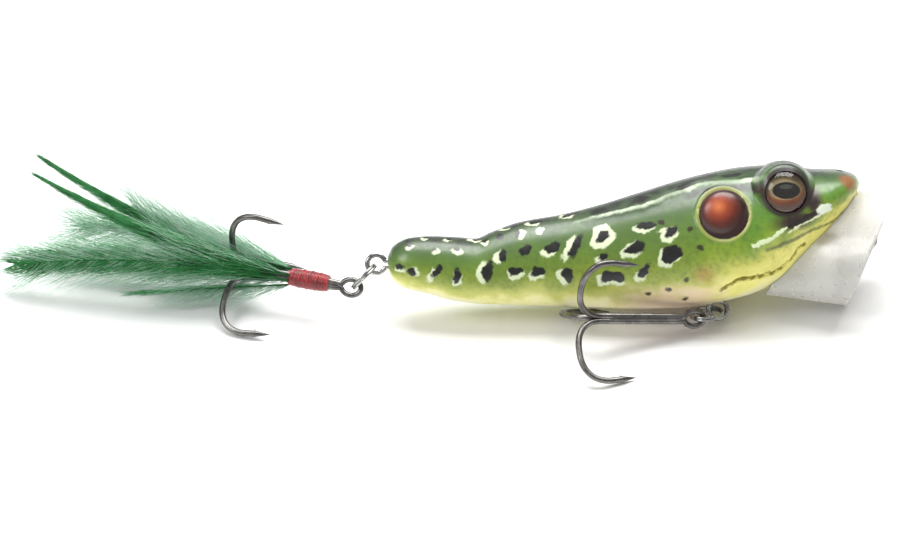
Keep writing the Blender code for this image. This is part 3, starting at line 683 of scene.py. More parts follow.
BACK_MARKS = [
    (5.6, 1.3, 0.55, 0.45, 0), (9.0, 1.7, 0.6, 0.5, 20), (13.2, 1.5, 0.9, 0.55, -15),
    (17.6, 1.4, 0.8, 0.6, 10), (21.6, 1.9, 1.1, 0.65, -10), (26.6, 1.6, 1.3, 0.8, 8),
    (30.6, 3.0, 1.1, 0.7, 20), (33.4, 1.3, 1.2, 0.8, -5), (36.9, 3.4, 1.5, 0.75, 12),
    (40.2, 1.4, 1.5, 0.9, -8), (43.4, 4.0, 1.4, 0.8, 10), (46.9, 1.7, 1.4, 0.95, 5),
    (50.2, 4.2, 1.3, 0.6, -6), (53.4, 1.5, 1.2, 0.8, -12), (62.0, 1.8, 0.8, 0.5, 30),
]
# The dark mask round an eye, as ovals: x, z, half-length, half-height, tilt. Then single places; the
# second is where a near-white painted highlight sits in front of the eye.
MASK = [(62.0, 9.2, 1.5, 2.3, 0), (59.6, 6.0, 2.7, 1.25, 14), (54.3, 10.6, 1.1, 0.8, -20)]
LID, PAINTED_HIGHLIGHT_AT, SNOUT, OCHRE = (58.4, 14.1), (63.8, 7.8), (67.6, 11.9), (46.3, -1.9)
MARK_GROWTH = 1.14
MOUTH_WIDTH, FOLD_WIDTH, CHEEK_WIDTH = 0.24, 0.36, 0.34


def smallest(values, start=9.0):
    best = np.full_like(values[0], start)
    for value in values:
        best = np.minimum(best, value)
    return best


def paint(mesh, side):
    """The spray pattern and the painted highlights, as distances and shares on the skin's points, for its
    material.
    """
    count = len(mesh.vertices)
    points = np.empty(count * 3)
    mesh.vertices.foreach_get("co", points)
    points = points.reshape(-1, 3)
    normals = np.empty(count * 3, np.float32)
    mesh.vertex_normals.foreach_get("vector", normals)
    flank = Flank(points, normals.reshape(-1, 3).astype(float), side)
    ink, halo = [], []
    for number, (x, z, half_u, half_v, tilt, shift_u, shift_v, grow) in enumerate(MARKS):
        u, v, depth = flank.flank_place(x, z)
        ink.append(flank.spot((u, v, depth), half_u * MARK_GROWTH, half_v * MARK_GROWTH, tilt, number))
        edge = flank.spot((u - shift_u * MARK_GROWTH, v - shift_v * MARK_GROWTH, depth),
                          (half_u + grow) * MARK_GROWTH, (half_v + grow) * MARK_GROWTH, tilt, number)
        halo.append(edge)
    for number, (x, y, half_u, half_v, tilt) in enumerate(BACK_MARKS):
        place = flank.tangent_place(*flank.on_back(x, y))
        ink.append(flank.spot(place, half_u, half_v, tilt, number + 1.7))
        if x < 27:
            u, v, depth = place
            shifted = (u + 0.3, v + 0.32, depth)
            halo.append(flank.spot(shifted, half_u + 0.04, half_v + 0.04, tilt, number))
    for number, (x, z, half_u, half_v) in enumerate(WHITES):
        halo.append(flank.spot(flank.flank_place(x, z), half_u, half_v, 0, number))
    dots = [flank.spot(flank.flank_place(x, z), radius, radius * 0.92, 0, x) for x, z, radius in DOTS]
    values = {"ink": smallest(ink), "halo": smallest(halo), "dots": smallest(dots)}
    gap, along = flank.line(FOLD)
    values["fold"] = gap - FOLD_WIDTH * np.clip(0.25 + 1.6 * along, 0, 1)
    shade, _ = flank.line([(x, z - 0.95) for x, z in FOLD[1:]])
    values["fold_shade"] = shade - 0.42
    values["fold_dark"] = flank.line(FOLD_DARK)[0] - 0.6
    gap, along = flank.line(CHEEK)
    values["cheek"] = gap - CHEEK_WIDTH * (1 - 0.45 * along)
    values["lip_light"] = flank.line(LIP_LIGHT)[0] - 0.13
    values["lip_dark"] = flank.line(LIP_DARK)[0] - 0.42
    values["lip_green"] = flank.line(LIP_GREEN)[0] - 0.25
    values["mouth"] = flank.line(MOUTH)[0] - MOUTH_WIDTH
    # an oval in front of the eye, for a painted highlight
    values["painted_highlight"] = flank.spot(flank.flank_place(*PAINTED_HIGHLIGHT_AT), 1.1, 0.8, 5, 1)
    around, out = eye_offset(points, side)
    values["eye"] = np.where(out > 1.0, around, 9.0)
    drum = np.hypot(points[:, 0] - DRUM.x, points[:, 2] - DRUM.z)
    values["drum"] = np.where(points[:, 1] * side > 3, drum, 9.0)
    # distance from a point above the drum's centre and towards the tail: the drum's own lighter middle,
    # and the centre of a painted highlight
    values["drum_spot"] = np.hypot(points[:, 0] - DRUM.x + 0.8, points[:, 2] - DRUM.z - 1.1)
    values["mask"] = smallest([flank.spot(flank.flank_place(x, z), half_u, half_v, tilt, 2)
                               for x, z, half_u, half_v, tilt in MASK])
    values["lid"] = flank.spot(flank.flank_place(*LID), 3.0, 1.5, 0, 1)
    values["snout"] = np.linalg.norm(points - flank.on_flank(*SNOUT)[0], axis=1)
    values["ochre"] = np.linalg.norm(points - flank.on_flank(*OCHRE)[0], axis=1)
    low, high = outline(BELLY, points[:, 0]), outline(BACK, points[:, 0])
    values["rise"] = np.clip((points[:, 2] - low) / np.maximum(high - low, 1.0), 0, 1)
    values["along"] = points[:, 0] / BODY_LENGTH
    for key, value in values.items():
        add_values(mesh, key, np.clip(value, -9, 9))
    return mesh


def frog_finish():
    """Sprayed frog pattern on moulded plastic under glossy lacquer, with painted highlights and painted
    shade mixed into its colour.
    """
    finish = Finish("frog_paint", coat_weight=0.35, coat_roughness=0.22, coat_ior=1.5, roughness=0.45)
    value = {key: finish.value(key) for key in
             ("ink", "halo", "dots", "fold", "fold_shade", "fold_dark", "cheek", "lip_light", "lip_dark",
              "lip_green",
              "mouth", "painted_highlight", "eye", "drum", "drum_spot", "mask", "lid", "snout", "ochre",
              "rise", "along")}
    cloud, grain, spray = finish.noise(260, 4), finish.noise(1500, 3), finish.noise(5200, 2)
    wander = finish.ranged(cloud, 0.3, 0.7, -0.055, 0.055)
    rise = finish.sum("ADD", value["rise"], wander)
    trunk = finish.ramp(rise, [(0.0, (240, 235, 186)), (0.05, (232, 228, 154)), (0.12, (192, 195, 92)),
                               (0.25, (150, 165, 54)), (0.42, (112, 138, 44)), (0.60, (86, 116, 42)),
                               (0.80, (64, 92, 42)), (0.94, (52, 66, 44)), (1.0, (38, 46, 38))])
    head = finish.ramp(rise, [(0.0, (243, 240, 196)), (0.08, (240, 234, 132)), (0.22, (196, 196, 74)),
                              (0.36, (134, 162, 42)), (0.54, (98, 140, 44)), (0.72, (84, 124, 46)),
                              (0.88, (60, 90, 44)), (1.0, (40, 54, 38))])
    colour = finish.mix(finish.ranged(value["along"], 0.60, 0.74), trunk, head)
    jaw = finish.ranged(value["along"], 0.74, 0.90)
    jaw = finish.sum("MULTIPLY", jaw, finish.ranged(rise, 0.45, 0.15))
    colour = finish.mix(jaw, colour, (240, 232, 120))
    blush = finish.sum("MULTIPLY", finish.ranged(value["along"], 0.44, 0.56),
                       finish.ranged(rise, 0.22, 0.05))
    blush = finish.sum("MULTIPLY", blush, finish.ranged(value["along"], 0.74, 0.64))
    colour = finish.mix(finish.sum("MULTIPLY", blush, 0.75), colour, (232, 200, 178))
    colour = finish.mix(finish.ranged(value["ochre"], 2.4, 0.3, 0, 0.7), colour, (168, 132, 52))
    fine = finish.sum("MULTIPLY", finish.ranged(grain, 0.42, 0.68, 0.0, 0.3),
                      finish.ranged(rise, 0.1, 0.3))
    colour = finish.mix(fine, colour, (58, 84, 30))
    speckle = finish.sum("MULTIPLY", finish.ranged(spray, 0.6, 0.74),
                         finish.ranged(rise, 0.45, 0.9, 0, 0.5))
    colour = finish.mix(speckle, colour, (38, 52, 30))
    rough_edge = finish.ranged(grain, 0.3, 0.7, -0.12, 0.12)

    def over(key, soft, tint, share=1.0, shift=0.0):
        edge = finish.sum("ADD", value[key], rough_edge)
        cover = finish.inside(edge, soft, shift)
        if share != 1.0:
            cover = finish.sum("MULTIPLY", cover, share)
        return finish.mix(cover, colour, tint)

    mottle = finish.sum("MULTIPLY", finish.ranged(finish.noise(620, 4), 0.46, 0.6),
                        finish.ranged(rise, 0.84, 0.95))
    colour = finish.mix(finish.sum("MULTIPLY", mottle, 0.7), colour, (26, 32, 26))
    colour = over("fold_shade", 0.45, (40, 72, 26), 0.75)
    colour = over("fold_dark", 0.45, (24, 34, 18), 0.92)
    # pale painted stripe along the fold, broken by noise; it also stands in for the highlight along the
    # ridge as a painted highlight
    fold_stripe_and_highlight = finish.inside(finish.sum("ADD", value["fold"], rough_edge), 0.3)
    fold_stripe_and_highlight = finish.sum("MULTIPLY", fold_stripe_and_highlight, finish.ranged(cloud, 0.35, 0.6, 0.25, 0.85))
    colour = finish.mix(fold_stripe_and_highlight, colour, (186, 204, 168))
    colour = over("lip_green", 0.3, (76, 86, 14), 0.9)
    colour = over("mask", 0.75, (64, 44, 36), 0.95)
    colour = over("mask", 0.5, (36, 24, 30), 0.85, -0.6)
    colour = over("lip_dark", 0.18, (34, 26, 20))
    colour = over("lip_light", 0.09, (226, 230, 188))
    colour = over("cheek", 0.12, (224, 238, 190))
    # near-white painted highlight on the dark mask in front of the eye
    colour = over("painted_highlight", 0.16, (236, 244, 224))
    colour = over("halo", 0.15, (224, 234, 196), 0.92)
    colour = over("ink", 0.14, (14, 17, 13))
    colour = over("dots", 0.16, (46, 38, 18), 0.95)
    colour = over("mouth", 0.2, (138, 128, 24), 0.95)
    colour = over("lid", 0.6, (52, 36, 44), 0.9)
    ring = finish.ranged(value["eye"], 4.0, 3.35)
    colour = finish.mix(ring, colour, (40, 27, 24))
    nose = finish.ranged(value["snout"], 2.3, 0.7, 0, 0.85)
    colour = finish.mix(nose, colour, (142, 82, 44))
    band = finish.ranged(value["drum"], 4.3, 3.95, 0, 0.8)
    colour = finish.mix(band, colour, (158, 160, 84))
    # the drum's maroon: orange round a painted highlight above its centre, darker below it as painted
    # shade
    drum_tint_highlight_and_shade = finish.ramp(finish.ranged(value["drum_spot"], 0.0, 3.6, smooth=False),
                        [(0.0, (206, 116, 66)), (0.35, (150, 62, 32)), (0.7, (92, 30, 16)),
                         (1.0, (50, 16, 10))])
    edge_dark = finish.mix(finish.ranged(value["drum"], 2.4, 3.7, 0, 0.9), drum_tint_highlight_and_shade, (34, 12, 8))
    colour = finish.mix(finish.ranged(value["drum"], 3.75, 3.55), colour, edge_dark)
    rough = finish.ranged(grain, 0.3, 0.7, 0.32, 0.46)
    height = finish.sum("ADD", finish.sum("MULTIPLY", cloud, 0.8), finish.sum("MULTIPLY", grain, 0.25))
    return finish.set(base_color=colour, roughness=rough, normal=finish.bump(height, 0.035, 0.35))


def body_skin():
    finish = frog_finish()
    for label, side in SIDES:
        cut = evaluated_mesh(outwards(skin_mesh(side)), skin_cutters(side))
        cut.shade_smooth()
        cut.set_sharp_from_angle(angle=math.radians(38))
        paint(cut, side)
        piece("skin_" + label, cut, LURE, "lure_body", ["shell_" + label], finish)


# ---------------------------------------------------------------- eyes

def iris_mesh(side):
    """A thin printed disc, hollowed a little to its middle."""
    radii = EYE_RADIUS * np.linspace(0.02, 1, 30)
    dish = -0.10 * (1 - (radii / EYE_RADIUS) ** 2)
    profile = [(0.02, -0.12)] + [(EYE_RADIUS, -0.12)] + list(zip(radii[::-1], (0.12 + dish)[::-1]))
    points, faces = spun(profile, 96)
    mesh = outwards(mesh_of("iris", [(points, faces)]))
    x, up = points[:, 0], points[:, 1] * -side
    add_values(mesh, "pupil", (np.hypot((x - 0.1) / 2.05, (up - 0.25) / 1.25) - 1) * 1.3)
    # pale crescent round the pupil's upper left: the foil's cream, brightened there as a painted highlight
    add_values(mesh, "pale", (np.hypot((x + 0.35) / 2.3, (up - 0.42) / 1.5) - 1) * 1.4)
    # small oval over the upper middle of the pupil, for a painted highlight
    add_values(mesh, "glint", (np.hypot((x - 0.1) / 1.0, (up - 0.8) / 0.32) - 1) * 0.4)
    add_values(mesh, "out", np.hypot(x, up) / EYE_RADIUS)
    add_values(mesh, "turn", np.arctan2(up, x))
    add_values(mesh, "up", up / EYE_RADIUS)
    return mesh


def iris_finish():
    """Gold and copper foil with dark rays and a black oval pupil, with a painted highlight on the pupil
    and a pale crescent partly brightened as a painted highlight.
    """
    finish = Finish("iris_foil", metallic=0.1, coat_weight=0.4, coat_roughness=0.1)
    pupil, pale, glint, out, turn, up = (finish.value(key) for key in
                                         ("pupil", "pale", "glint", "out", "turn", "up"))
    gold = finish.ramp(finish.ranged(up, -1, 1), [(0.0, (120, 62, 34)), (0.2, (190, 112, 66)),
                                                  (0.42, (222, 152, 100)), (0.6, (222, 184, 128)),
                                                  (0.8, (190, 172, 118)), (1.0, (128, 108, 78))])
    rays = finish.node("ShaderNodeTexNoise", Scale=9.0, Detail=3.0)
    rays.noise_dimensions = "2D"
    spoke = finish.node("ShaderNodeCombineXYZ", X=finish.sum("MULTIPLY", turn, 2.2),
                        Y=finish.sum("MULTIPLY", out, 0.5))
    finish.tree.links.new(spoke.outputs[0], rays.inputs["Vector"])
    colour = finish.mix(finish.ranged(rays.outputs["Fac"], 0.45, 0.7, 0, 0.45), gold, (104, 58, 28))
    # cream crescent: partly the foil's print, partly a painted highlight
    colour = finish.mix(finish.sum("MULTIPLY", finish.inside(pale, 0.2), 0.9), colour, (226, 214, 172))
    under = finish.sum("MULTIPLY", finish.inside(pupil, 0.08, 0.1),
                       finish.ranged(up, 0.0, -0.2, 0.0, 0.7))
    colour = finish.mix(under, colour, (214, 196, 150))
    colour = finish.mix(finish.ranged(out, 0.92, 1.0, 0, 0.8), colour, (60, 36, 24))
    colour = finish.mix(finish.inside(pupil, 0.06), colour, (6, 6, 8))
    # grey-green painted highlight: the lens's reflection painted onto the pupil
    colour = finish.mix(finish.sum("MULTIPLY", finish.inside(glint, 0.16), 0.6), colour, (104, 120, 112))
    rough = finish.ranged(rays.outputs["Fac"], 0.3, 0.7, 0.22, 0.4)
    return finish.set(base_color=colour, roughness=rough,
                      normal=finish.bump(rays.outputs["Fac"], 0.02, 0.4))


def lens_finish():
    """Clear resin: what lies under it shows through, and its surface reflects."""
    finish = Finish("clear_resin", roughness=0.02, ior=1.5)
    tree = finish.tree
    clear = finish.node("ShaderNodeBsdfTransparent", Color=(0.97, 0.95, 0.92, 1.0))
    rough = finish.ranged(finish.noise(700, 2), 0.2, 0.8, 0.01, 0.05)
    gloss = finish.node("ShaderNodeBsdfGlossy", Roughness=rough)
    share = finish.node("ShaderNodeFresnel", IOR=1.5)
    both = finish.node("ShaderNodeMixShader", Fac=share.outputs[0])
    tree.links.new(clear.outputs[0], both.inputs[1])
    tree.links.new(gloss.outputs[0], both.inputs[2])
    output = next(n for n in tree.nodes if n.type == "OUTPUT_MATERIAL")
    tree.links.new(both.outputs[0], output.inputs["Surface"])
    tree.nodes.remove(finish.shader)
    return finish.material


def eyes():
    foil, resin = iris_finish(), lens_finish()
    for label, side in SIDES:
        axes = LURE @ scaled(eye_axes(side, IRIS_DISTANCE))
        piece("printed_iris_" + label, iris_mesh(side), axes, "lure_body",
              ["iris_" + label], foil)
        crown = [(EYE_RADIUS * math.sin(a), 0.3 + 1.25 * math.cos(a) ** 1.15)
                 for a in np.linspace(0.01, math.pi / 2 - 0.02, 24)]
        profile = crown + [(EYE_RADIUS, 0.24), (EYE_RADIUS, 0.0), (0.03, 0.0)]
        lens = outwards(mesh_of("lens", [spun(profile, 96)], 50))
        axes = LURE @ scaled(eye_axes(side, IRIS_DISTANCE + 0.25))
        piece("resin_lens_" + label, lens, axes, "lure_body", ["eye_lens_" + label], resin)


def scaled(axes):
    """Axes given in millimetres, with their origin in metres."""
    made = axes.copy()
    made.translation = axes.translation * MM
    return made


# ---------------------------------------------------------------- cup lip

def tilted_ring(bottom, top, half_width, sides):
    """An ellipse across the lure, between a bottom and a top point of the middle plane."""
    angles = 2 * math.pi * (np.arange(sides) + 0.5) / sides
    bottom, top = np.array((bottom[0], 0, bottom[1])), np.array((top[0], 0, top[1]))
    half = (top - bottom) / 2
    return ((bottom + top) / 2 + np.sin(angles)[:, None] * half
            + np.cos(angles)[:, None] * np.array((0, half_width, 0)))


def lip_mesh():
    """A flared skirt in front of the face, hollowed by a bowl, with a rounded rim."""
    sides, steps = 128, 26
    corners = np.array((ROOT_BOTTOM, ROOT_TOP)), np.array((RIM_BOTTOM, RIM_TOP))
    rings = []
    for share in np.linspace(0, 1, steps):
        bottom, top = corners[0] + (corners[1] - corners[0]) * share
        half_width = ROOT_HALF_WIDTH + (RIM_HALF_WIDTH - ROOT_HALF_WIDTH) * share**FLARE_POWER
        rings.append(tilted_ring(bottom, top, half_width, sides))
    rim = rings[-1]
    middle = rim.mean(0)
    ahead = unit(middle - rings[0].mean(0))
    for angle in np.linspace(0.2, math.pi / 2 - 0.1, 6):
        edge = middle + (rim - middle) * (1 - 0.03 * (1 - math.cos(angle)))
        rings.append(edge + ahead * 0.28 * math.sin(angle))
    skirt = outwards(mesh_of("skirt", [loft(rings)]))
    body_rings = []
    for x in stations():
        angles = np.radians(np.linspace(-90, 90, 40))
        half = body_surface(np.array([x + 0.12 * (x > 60)]), angles, -0.12)[0]
        body_rings.append(np.concatenate([half, half[-2:0:-1] * (1, -1, 1)]))
    face = outwards(mesh_of("face", [loft(body_rings)]))
    up = np.array((RIM_TOP[0] - RIM_BOTTOM[0], 0, RIM_TOP[1] - RIM_BOTTOM[1]))
    forwards = unit(np.array((up[2], 0, -up[0])))
    half_height = np.linalg.norm(up) / 2 - RIM_WALL
    centre = middle + forwards * 0.35
    bowl_rings = []
    for latitude in np.radians(np.linspace(-89.5, 89.5, 70)):
        wide = math.cos(latitude) * np.stack([
            np.cos(2 * math.pi * np.arange(sides) / sides) * (RIM_HALF_WIDTH - RIM_WALL),
            np.sin(2 * math.pi * np.arange(sides) / sides) * half_height])
        bowl_rings.append(centre + forwards * BOWL_DEPTH * math.sin(latitude)
                          + wide[0][:, None] * np.array((0, 1, 0)) + wide[1][:, None] * unit(up))
    bowl = outwards(mesh_of("bowl", [loft(bowl_rings)]))
    hole = outwards(mesh_of("hole", [rod(LEG_HALF_SPACING + WIRE_RADIUS + 0.12, (60, 0, LINE_TIE[1]),
                                         (80, 0, LINE_TIE[1]))]))
    made = evaluated_mesh(skirt, [face, bowl, hole])
    made.shade_smooth()
    made.set_sharp_from_angle(angle=math.radians(42))
    return made


def lip_finish():
    """Frosted clear plastic: milky, with faint flow marks, and a polished surface."""
    finish = Finish("frosted_clear", coat_weight=0.5, coat_roughness=0.08, transmission_weight=0.25,
                    ior=1.45)
    cloud = finish.noise(90, 2, stretch=(1.0, 1.0, 2.2))
    flow = finish.noise(700, 2)
    colour = finish.mix(finish.ranged(cloud, 0.3, 0.72), (226, 223, 216), (208, 208, 203))
    return finish.set(base_color=colour, roughness=finish.ranged(flow, 0.3, 0.7, 0.26, 0.36),
                      alpha=finish.ranged(cloud, 0.3, 0.7, 0.74, 0.82),
                      normal=finish.bump(cloud, 0.03, 0.15))


def cup_lip():
    piece("clear_cup", lip_mesh(), LURE, "lure_body", ["cup_lip"], lip_finish())


# ---------------------------------------------------------------- wire eyes and split rings

def wire_eye_line(centre, outwards_way, leg):
    """A round loop outside the body and two legs that flare inside it."""
    out = np.array((outwards_way[0], 0.0, outwards_way[1]))
    across = np.array((out[2], 0.0, -out[0]))
    middle = np.array((centre[0], 0.0, centre[1]))
    mouth = math.asin(LEG_HALF_SPACING / LOOP_RADIUS)
    angles = math.pi + mouth + (2 * math.pi - 2 * mouth) * np.linspace(0, 1, 72)
    loop = middle + LOOP_RADIUS * (np.cos(angles)[:, None] * out + np.sin(angles)[:, None] * across)
    neck = LOOP_RADIUS * math.cos(mouth)
    flare = 1.0
    legs = []
    for sign in (-1, 1):
        near = middle - out * (neck + 0.5) + across * sign * LEG_HALF_SPACING
        far = middle - out * (neck + leg) + across * sign * LEG_HALF_SPACING
        legs.append([far - out * flare + across * sign * flare * 0.5, far, (near + far) / 2, near])
    return np.concatenate([legs[0], loop, legs[1][::-1]])


def wires(steel):
    for name, centre, way, leg, node in (
            ("tail_wire_eye", TAIL_EYE, (-1, 0), 5.0, "tail_hanger"),
            ("belly_wire_eye", BELLY_EYE, (0, -1), 4.0, "belly_hanger"),
            ("line_tie_eye", LINE_TIE, (1, 0), 8.5, "line_tie")):
        mesh = outwards(mesh_of(name, [wire(wire_eye_line(centre, way, leg), WIRE_RADIUS, 18)]))
        piece(name, mesh, LURE, "lure_body", [node], steel)


def split_rings(steel):
    """Two flattened coils each, with their cut ends bevelled to a wedge."""
    turns, steps = 2, 150
    at = np.linspace(0, 1, steps)
    angles = math.pi / 2 + 2 * math.pi * turns * at
    ends = np.minimum(at, 1 - at) * turns * 2 * math.pi * RING_RADIUS
    for side in ("tail", "belly"):
        step_over = 0.5 + 0.5 * np.tanh((at - 0.5) * 16)
        height = RING_PITCH * (0.75 * step_over + 0.25 * at - 0.5)
        line = np.stack([RING_RADIUS + RING_RADIUS * np.cos(angles), RING_RADIUS * np.sin(angles),
                         height], -1)
        taper = np.clip(0.45 + ends / 1.1, 0, 1)
        mesh = outwards(mesh_of(side + "_ring", [wire(line, RING_WIRE * 1.05, 14, taper)]))
        piece(side + "_split_ring", mesh, ring_axes(side), side + "_ring",
              [side + "_ring"], steel)


# ---------------------------------------------------------------- treble hooks

def arm_line(steps=60):
    """One hook arm in its own plane: (along the shank, out from it)."""
    half_u, half_r = BEND_END - BEND_START, (HOOK_REACH - ARM_ROOT) / 2
    c, s = (way(np.linspace(-math.pi / 2, math.pi / 2, steps)) for way in (np.cos, np.sin))
    bend = np.stack([BEND_START + half_u * np.abs(c) ** (2 / BEND_POWER),
                     ARM_ROOT + half_r * (1 + np.sign(s) * np.abs(s) ** (2 / BEND_POWER))], -1)
    shank = [(u, ARM_ROOT) for u in np.linspace(1.9, BEND_START - 0.4, 12)]
    shank[0] = (1.75, ARM_ROOT * 0.72)
    share = np.linspace(0.1, 1, 14)[:, None]
    start, end = np.array((BEND_START, HOOK_REACH)), np.array((POINT_AT, POINT_REACH))
    return np.concatenate([shank, bend, start + (end - start) * share])


def arm_radius(line):
    """Full wire up to the point, ground to a needle over its last two millimetres."""
    gaps = np.linalg.norm(np.diff(line, axis=0), axis=1)
    to_end = np.concatenate([np.cumsum(gaps[::-1])[::-1], [0]])
    return np.clip((to_end / 2.2) ** 0.8, 0.08, 1)


def barb_part(angle):
    """The small spike cut up from the inner side of a point."""
    reach = POINT_REACH + 0.2 - HOOK_WIRE * 0.6
    line = [(POINT_AT + 1.2, 0, reach + 0.3), (POINT_AT + 1.9, 0, reach + 0.1),
            (POINT_AT + 2.7, 0, reach - 0.42)]
    points = [(u, r * math.cos(angle), r * math.sin(angle)) for u, _, r in rounded(line, 8)]
    return wire(points, 0.2, 8, np.linspace(1, 0.12, 8))


def treble_mesh(name, arms_deg, eye_normal):
    """Three wires brazed side by side, an oval eye, three bends, barbs and needle points."""
    x_way = np.array((1.0, 0, 0))
    across = unit(np.cross(eye_normal, x_way))
    angles = np.linspace(0.30, 2 * math.pi - 0.30, 64)
    oval = (x_way * (HOOK_EYE_CENTRE + HOOK_EYE_LENGTH * np.cos(angles))[:, None]
            + across * (HOOK_EYE_WIDTH * np.sin(angles))[:, None])
    tail = [x_way * u + across * w for u, w in ((2.3, 0.22), (3.0, 0.3))]
    head = [x_way * u - across * w for u, w in ((3.0, 0.3), (2.3, 0.22))]
    parts = [wire(np.array(tail[::-1] + oval.tolist() + head[::-1]), HOOK_WIRE * 0.88, 16)]
    plane = arm_line()
    for degrees in arms_deg:
        turn = math.radians(degrees)
        line = [(u, r * math.cos(turn), r * math.sin(turn)) for u, r in plane]
        parts.append(wire(line, HOOK_WIRE, 16, arm_radius(plane)))
        parts.append(barb_part(turn))
    braze = [(1.7, 0.25), (2.1, 0.62), (3.0, 0.72), (12.6, 0.72), (13.8, 0.55), (14.6, 0.2)]
    parts.append(wire([(u, 0, 0) for u, _ in braze], 1.0, 18, [r for _, r in braze]))
    return outwards(mesh_of(name, parts))


def trebles(nickel):
    for side, axes, arms in (("tail", TAIL_HOOK, TAIL_ARMS_DEG), ("belly", BELLY_HOOK, BELLY_ARMS_DEG)):
        tangent = axes.to_3x3().inverted() @ Vector(JOINTS[side + "_ring_swing"]["axis"])
        normal = unit(np.array((0, tangent.y, tangent.z)))
        mesh = treble_mesh(side + "_treble", arms, normal)
        piece(side + "_treble_hook", mesh, axes, side + "_treble",
              [side + "_treble"], nickel)


# ---------------------------------------------------------------- thread and feathers

def thread_wrap():
    """Close turns of thread over a core, a second layer crossing back, under clear cement."""
    turns, per_turn = 25, 36
    at = np.linspace(0, 1, turns * per_turn)
    swell = 1.06 + 0.21 * np.sin(math.pi * np.clip(at, 0.02, 0.98)) ** 0.6
    angles = 2 * math.pi * turns * at
    line = np.stack([THREAD_START + 0.15 + (THREAD_END - THREAD_START - 0.3) * at,
                     swell * np.cos(angles), swell * np.sin(angles)], -1)
    back_turns = 4
    cross = 2 * math.pi * back_turns * at
    over = np.stack([THREAD_END - 0.5 - (THREAD_END - THREAD_START - 1.1) * at,
                     (swell + 0.13) * np.cos(cross), (swell + 0.13) * np.sin(cross)], -1)
    core = [(u, 0, 0) for u in np.linspace(THREAD_START, THREAD_END, 14)]
    core_size = [1.0 + 0.2 * math.sin(math.pi * t) ** 0.6 for t in np.linspace(0.02, 0.98, 14)]
    parts = [wire(core, 1.03, 30, core_size), wire(line, 0.15, 8), wire(over, 0.12, 8)]
    mesh = outwards(mesh_of("thread", parts, 60))
    finish = Finish("crimson_thread", coat_weight=0.5, coat_roughness=0.12, sheen_weight=0.2)
    fibre = finish.noise(6000, 3, stretch=(1.0, 0.35, 0.35))
    cloud = finish.noise(900, 3)
    colour = finish.mix(finish.ranged(cloud, 0.3, 0.7), (108, 6, 13), (150, 14, 22))
    colour = finish.mix(finish.ranged(fibre, 0.5, 0.75, 0, 0.5), colour, (190, 44, 46))
    finish.set(base_color=colour, roughness=finish.ranged(fibre, 0.3, 0.7, 0.42, 0.62),
               normal=finish.bump(fibre, 0.03, 0.5))
    piece("thread_windings", mesh, TAIL_HOOK, "tail_treble", ["thread_wrap"],
          finish.material)


BARB_SIDES, BARB_TURN = 3, (0.1, 0.9, 0.4)
BARB_FLOOR = -5.2      # in the hook's own axes: no barb reaches under the surface the lure lies on


def feather_parts(root, tip, bow, quill_radius, barbs):
    """A quill and its barbs. Each group of barbs says how many, where along the quill, how long,
    how far they stand off, how they fan about the quill, how they wave, and their tone."""
    steps = 40
    t = np.linspace(0, 1, steps)[:, None]
    root, tip, bow = (np.array(v, float) for v in (root, tip, bow))
    spine = root + (tip - root) * t + bow * 4 * t * (1 - t)
    quill = wire(spine, quill_radius, 8, np.clip(1.05 - t[:, 0] * 0.85, 0.12, 1))
    quill_tone = np.full(len(quill[0]), 0.12)
    parts = [(quill[0], quill[1], {"tone": quill_tone, "tip": np.repeat(t[:, 0], 8)})]
    ahead = unit(np.gradient(spine, axis=0))
    for group in barbs:
        count, joints = group["count"], group["joints"]
        place = group["start"] + (group["end"] - group["start"]) * np.sort(RANDOM.random(count))
        spine_at = place * (steps - 1)
        low = np.minimum(spine_at.astype(int), steps - 2)
        share = (spine_at - low)[:, None]
        base = spine[low] * (1 - share) + spine[low + 1] * share
        forward = ahead[low]
        fan = np.radians(group["fan"][0] + (group["fan"][1] - group["fan"][0]) * RANDOM.random(count))
        sides = np.ones(count)
        if group["both"]:
            sides[1::2] = -1
        z_way = unit(np.array((0, 0, 1.0)) - forward * forward[:, 2:3])
        y_way = np.cross(z_way, forward)
        away = (z_way * np.cos(fan)[:, None] + y_way * np.sin(fan)[:, None]) * sides[:, None]
        fullness = np.clip(np.interp(place, *group["length"]), 0.3, None)
        fullness = fullness * (0.78 + 0.44 * RANDOM.random(count))
        lean = np.radians(np.interp(place, *group["lean"])) * (0.75 + 0.5 * RANDOM.random(count))
        s = np.linspace(0, 1, joints)[None, :, None]
        curl = group["curl"] * (0.5 + RANDOM.random(count))[:, None, None]
        out = np.sin(lean)[:, None, None] * (s - curl * s**2)
        on = np.cos(lean)[:, None, None] * s + curl * 0.4 * s**2
        line = base[:, None] + fullness[:, None, None] * (forward[:, None] * on + away[:, None] * out)
        phase = RANDOM.random((2, count, 1, 1)) * 2 * math.pi
        rate = 5.0 + 4.0 * RANDOM.random((count, 1, 1))
        line = line + group["wave"] * s * (np.sin(rate * s + phase[0]) * y_way[:, None]
                                           + np.sin(rate * 0.8 * s + phase[1]) * z_way[:, None])
        line[:, :, 2] += group["sag"] * (s[:, :, 0] ** 2)
        line[:, :, 2] = np.maximum(line[:, :, 2], BARB_FLOOR)
        taper = np.clip(1.0 - 0.85 * s[0, :, 0], 0.1, 1)
        sizes = group["radius"] * (0.8 + 0.4 * RANDOM.random(count))[:, None] * taper[None]
        points, faces = tubes(line, sizes, BARB_SIDES, BARB_TURN)
        tone = group["tone"][0] + (group["tone"][1] - group["tone"][0]) * RANDOM.random(count)
        tip_share = np.tile(np.repeat(s[0, :, 0], BARB_SIDES), count)
        parts.append((points, faces, {"tone": np.repeat(tone, joints * BARB_SIDES), "tip": tip_share}))
    return parts


